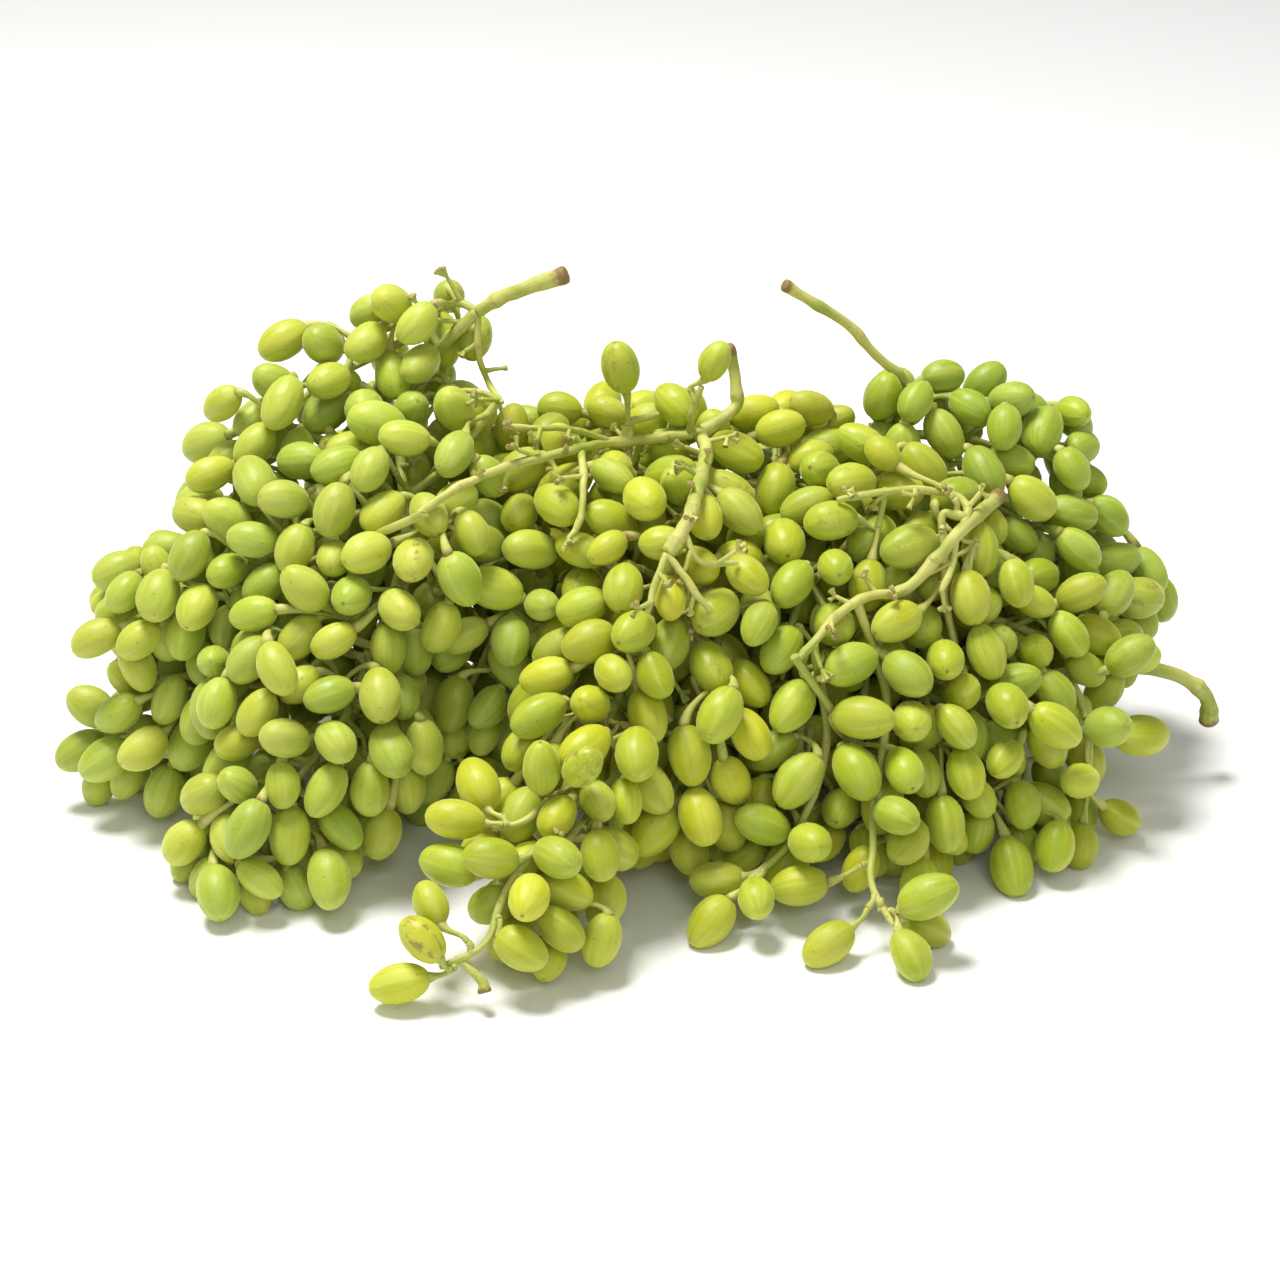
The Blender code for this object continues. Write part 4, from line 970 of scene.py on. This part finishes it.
def branchedStalks(path, berryEnds, berryAxes, berriesPerBranchlet, reach, rng):
    # branchlets from the side stem towards every few berries, and a stalk from the nearest to each berry
    count = len(berryEnds)
    leaders = np.arange(0, count, berriesPerBranchlet)
    shape = stalkShape
    roots = nearestOn(path, berryEnds[leaders], shape["lead"])
    way = berryEnds[leaders] - roots
    length = lengths(way)[:, None]
    tips = roots + way * reach + rng.normal(0, shape["scatter"], (len(leaders), 3))
    bend = np.cross(unit(way), rng.normal(0, 1, (len(leaders), 3))) * length * shape["bend"]
    branchlets = bezier(roots, roots + way * 0.18 + bend, tips - way * 0.15, tips, shape["rings"])
    fromTip = lengths(berryEnds[:, None] - tips)
    behind = ((berryEnds[:, None] - tips) * berryAxes[:, None]).sum(axis=2)
    chosen = (fromTip - 0.5 * behind + 0.02 * (fromTip < 0.004)).argmin(axis=1)
    start = tips[chosen]
    ends = berryEnds + berryAxes * shape["intoBerry"]
    away = lengths(ends - start)[:, None]
    leave = start + unit(tips[chosen] - roots[chosen]) * away * 0.30 + rng.normal(0, 0.0006, (count, 3))
    arrive = ends - berryAxes * (away * 0.38)
    stalks = bezier(start, leave, arrive, ends, shape["rings"])
    return branchlets, stalks


def stalkRadii(count):
    # thick at the root, thin along the middle, swollen into a cushion at the berry
    t = np.linspace(0, 1, stalkShape["rings"])
    profile = stalkShape["radius"] * (1 + stalkShape["rootFlare"] * hump(t, 0.12))
    profile = profile + (stalkShape["cushion"] - stalkShape["radius"]) * hump(t - 1.0, 0.22)
    return np.tile(profile, (count, 1))


shape = stalkShape
around, sideRings = shape["around"], shape["sideRings"]
t = np.linspace(0, 1, shape["rings"])
for owner, (name, route) in enumerate(sideRoutes.items()):
    own = owners == owner
    route = np.vstack([sideJoints[name], route])
    berryEnds = places[own] - axes[own] * halfLength[own][:, None]
    few, reach = shape["inSpray"] if name in sprays else shape["inShoulder"]
    branchlets, stalks = branchedStalks(smoothRoute(route, 60), berryEnds, axes[own], few, reach, lookRng)
    stalkDry = np.tile(t**6 * 0.55, (len(stalks), 1)) + lookRng.normal(0.05, 0.08, (len(stalks), 1))
    swollen = shape["branchletRadius"] * (1 + 0.5 * hump(t, 0.15) + 0.45 * hump(t - 1, 0.1))
    branchletRadii = np.tile(swollen, (len(branchlets), 1))
    branchletDry = np.tile(0.35 * hump(t - 1, 0.12), (len(branchlets), 1))
    sidePath = smoothRoute(route, sideRings)[None]
    sideRadius = np.linspace(layout["sideStemRadius"] * 1.15, shape["tipRadius"], sideRings)[None]
    sideRadius = sideRadius * (1 + 0.12 * np.abs(lookRng.normal(0, 1, sideRadius.shape)))
    parts = [
        tubePart(tubePoints(stalks, stalkRadii(len(stalks)), around, lookRng), stalkDry, around),
        tubePart(tubePoints(branchlets, branchletRadii, around, lookRng), branchletDry, around),
        tubePart(
            tubePoints(sidePath, sideRadius, around, lookRng), 0.15 * lookRng.random((1, sideRings)), around
        ),
    ]
    piece = makePiece(f"{name}_stalks", parts, stemMaterial)
    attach(piece, "root")
    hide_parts(name)
print("stalks made")


# The five bunch stems

knottyShape = {
    "around": 8,
    "ringSpacing": 0.0022,
    "knotSpacing": 0.017,  # between the knots along a stem
    "knotSwelling": 0.28,
    "knotLength": 0.0018,
    "cutSwelling": 0.35,
    "cutLength": 0.003,
    "waver": 0.00015,
    "knotDryness": 0.45,
    "cutDryness": 1.1,
}


def knottyStem(route, radiusStart, radiusEnd, isCut, rng):
    # one arm: its radius is the taper, times a hump for each knot and the cut end, times a little chance
    shape = knottyShape
    length = lengthAlong(smoothRoute(route, 60))[-1]
    count = max(5, round(length / shape["ringSpacing"]))
    path = smoothRoute(route, count)
    along = np.linspace(0, length, count)
    knots = np.arange(shape["knotSpacing"] * rng.uniform(0.5, 1), length, shape["knotSpacing"])
    knots = knots + rng.normal(0, 0.002, len(knots))
    atKnot = hump(along[:, None] - knots, shape["knotLength"]).sum(axis=1)
    atCut = hump(along, shape["cutLength"]) * isCut
    radius = np.linspace(radiusStart, radiusEnd, count) / 1000
    radius = radius * (1 + shape["knotSwelling"] * atKnot + shape["cutSwelling"] * atCut)
    radius = radius * (1 + rng.normal(0, 0.015, count))
    middle = slice(1, -1)
    path[middle] += rng.normal(0, shape["waver"], (count, 3))[middle]
    dry = shape["knotDryness"] * atKnot + shape["cutDryness"] * atCut + rng.uniform(0, 0.12, count)
    points = tubePoints(path[None], radius[None], shape["around"], rng)
    return tubePart(points, dry[None], shape["around"])


twigShape = {
    "spacing": 0.0095,  # between bare twigs along an arm
    "length": 0.008,
    "forks": 3,  # ends of each twig
    "forkShare": 0.45,  # of the twig's length
    "radius": 0.0007,
    "knob": 0.0012,  # radius of a dried end
    "around": 6,
    "rings": 5,
    "clear": 0.0066,  # least distance from a twig's points to a berry's middle
    "smoothEnd": 0.05,  # length of the cut end that has no twigs
    "slant": 0.6,  # onwards, for each unit across
    "bend": 0.12,  # share of its length
    "forkSpread": 0.55,
}
brokenStubs = {"middle": (mm((-44, -120, 7), (-45, -118, 10), (-51, -115, 15)), 1.7, 1.1)}


def bareTwigs(route, start, rng):
    # what is left where berries have dropped off: short forked twigs that slant onwards from an arm, where
    # there is room for them between the berries
    shape = twigShape
    path = smoothRoute(route, 60)
    along = lengthAlong(path)
    at = np.arange(start + shape["spacing"] * rng.uniform(0.4, 1), along[-1], shape["spacing"])
    if len(at) == 0:
        return []
    tangents = unit(np.gradient(path, axis=0))
    roots, onwards = readAlong(path, along, at), unit(readAlong(tangents, along, at))
    across = rng.normal(0, 1, roots.shape)
    across = unit(across - onwards * (across * onwards).sum(axis=1, keepdims=True))
    way = unit(across + shape["slant"] * onwards)
    length = shape["length"] * rng.uniform(0.5, 1.3, (len(at), 1))
    bend = rng.normal(0, shape["bend"], roots.shape) * length
    tips = roots + way * length + bend
    toBerry = lengths((tips * 0.7 + roots * 0.3)[:, None] - places).min(axis=1)
    toBerry = np.minimum(toBerry, lengths(tips[:, None] - places).min(axis=1))
    free = toBerry > shape["clear"]
    if not free.any():
        return []
    roots, tips, way, length = roots[free], tips[free], way[free], length[free]
    twigs = bezier(roots, roots + way * length * 0.4, tips - way * length * 0.3, tips, shape["rings"])
    fork, ahead, reach = (np.repeat(rows, shape["forks"], axis=0) for rows in (tips, way, length))
    ahead = unit(ahead + rng.normal(0, shape["forkSpread"], fork.shape))
    reach = reach * shape["forkShare"]
    ends = fork + ahead * reach
    forks = bezier(fork, fork + ahead * reach * 0.4, ends - ahead * reach * 0.3, ends, shape["rings"])
    t = np.linspace(0, 1, shape["rings"])
    twigRadius = np.tile(shape["radius"] * (1 + 0.5 * hump(t, 0.2)), (len(twigs), 1))
    knobRadius = shape["radius"] * 0.85 + (shape["knob"] - shape["radius"]) * hump(t - 1, 0.25)
    knobRadius = np.tile(knobRadius, (len(forks), 1))
    knobDry = np.tile(0.7 * t**4, (len(forks), 1))
    around = shape["around"]
    return [
        tubePart(tubePoints(twigs, twigRadius, around, rng), 0 * twigRadius + 0.1, around),
        tubePart(tubePoints(forks, knobRadius, around, rng), knobDry, around),
    ]


for bunch, stems in bunchStems.items():
    first = next(iter(stems))
    parts = [knottyStem(*stems[arm], arm == first, lookRng) for arm in stems]
    if bunch in brokenStubs:
        parts.append(knottyStem(*brokenStubs[bunch], True, lookRng))
    for arm, (route, *_) in stems.items():
        parts += bareTwigs(route, twigShape["smoothEnd"] * (arm == first), lookRng)
    piece = makePiece(f"{bunch}_knotty_stem", parts, stemMaterial)
    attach(piece, "root")
    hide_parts(f"{bunch}_stem")
print("bunch stems made")


# Floor, light and camera

stage = {
    "floorSize": 8.0,
    "floorColour": (0.97, 0.965, 0.96),
    "worldColour": (1.0, 0.99, 0.985),
    "worldStrength": 0.36,
    "cameraElevation": 26.0,  # degrees above level
    "cameraDistance": 1.0,
    "cameraTarget": (-0.0027, 0.0095, 0.06),
    "cameraLens": 90.7,
    # each light: place, size, power, colour
    "lights": {
        "overhead": ((-0.35, 0.10, 1.5), 0.55, 27.0, (1.0, 0.99, 0.97)),
        "front": ((0.3, -1.5, 1.3), 0.8, 6.0, (1.0, 0.99, 0.98)),
    },
}


def makeFloor():
    size = stage["floorSize"] / 2
    mesh = bpy.data.meshes.new("pale floor")
    corners = [(-size, -size, 0), (size, -size, 0), (size, size, 0), (-size, size, 0)]
    mesh.from_pydata(corners, [], [(0, 1, 2, 3)])
    material, tree, shader = newMaterial("pale floor")
    fillInputs(tree, shader, Base_Color=stage["floorColour"], Roughness=0.7)
    mesh.materials.append(material)
    floor = bpy.data.objects.new("pale floor", mesh)
    bpy.context.scene.collection.objects.link(floor)
    return floor


def makeLight(name, place, size, power, colour):
    lamp = bpy.data.lights.new(name, "AREA")
    lamp.shape, lamp.size, lamp.energy, lamp.color = "DISK", size, power, colour
    light = bpy.data.objects.new(name, lamp)
    light.location = place
    towards = -np.array(place)
    light.rotation_euler = (
        math.atan2(math.hypot(*towards[:2]), -towards[2]),
        0,
        math.atan2(towards[1], towards[0]) - math.pi / 2,
    )
    bpy.context.scene.collection.objects.link(light)
    return light


def makeCamera():
    tilt = math.radians(stage["cameraElevation"])
    target = np.array(stage["cameraTarget"])
    camera = bpy.data.objects.new("camera", bpy.data.cameras.new("camera"))
    camera.data.lens = stage["cameraLens"]
    camera.location = target + stage["cameraDistance"] * np.array([0, -math.cos(tilt), math.sin(tilt)])
    camera.rotation_euler = (math.pi / 2 - tilt, 0, 0)
    bpy.context.scene.collection.objects.link(camera)
    bpy.context.scene.camera = camera


makeFloor()
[makeLight(name, *values) for name, values in stage["lights"].items()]
makeCamera()
world = bpy.data.worlds.new("studio")
world.use_nodes = True
tree = world.node_tree
fillInputs(tree, tree.nodes["Background"], Color=stage["worldColour"], Strength=stage["worldStrength"])
bpy.context.scene.world = world
bpy.context.scene.view_settings.view_transform = "Standard"
print("stage made")
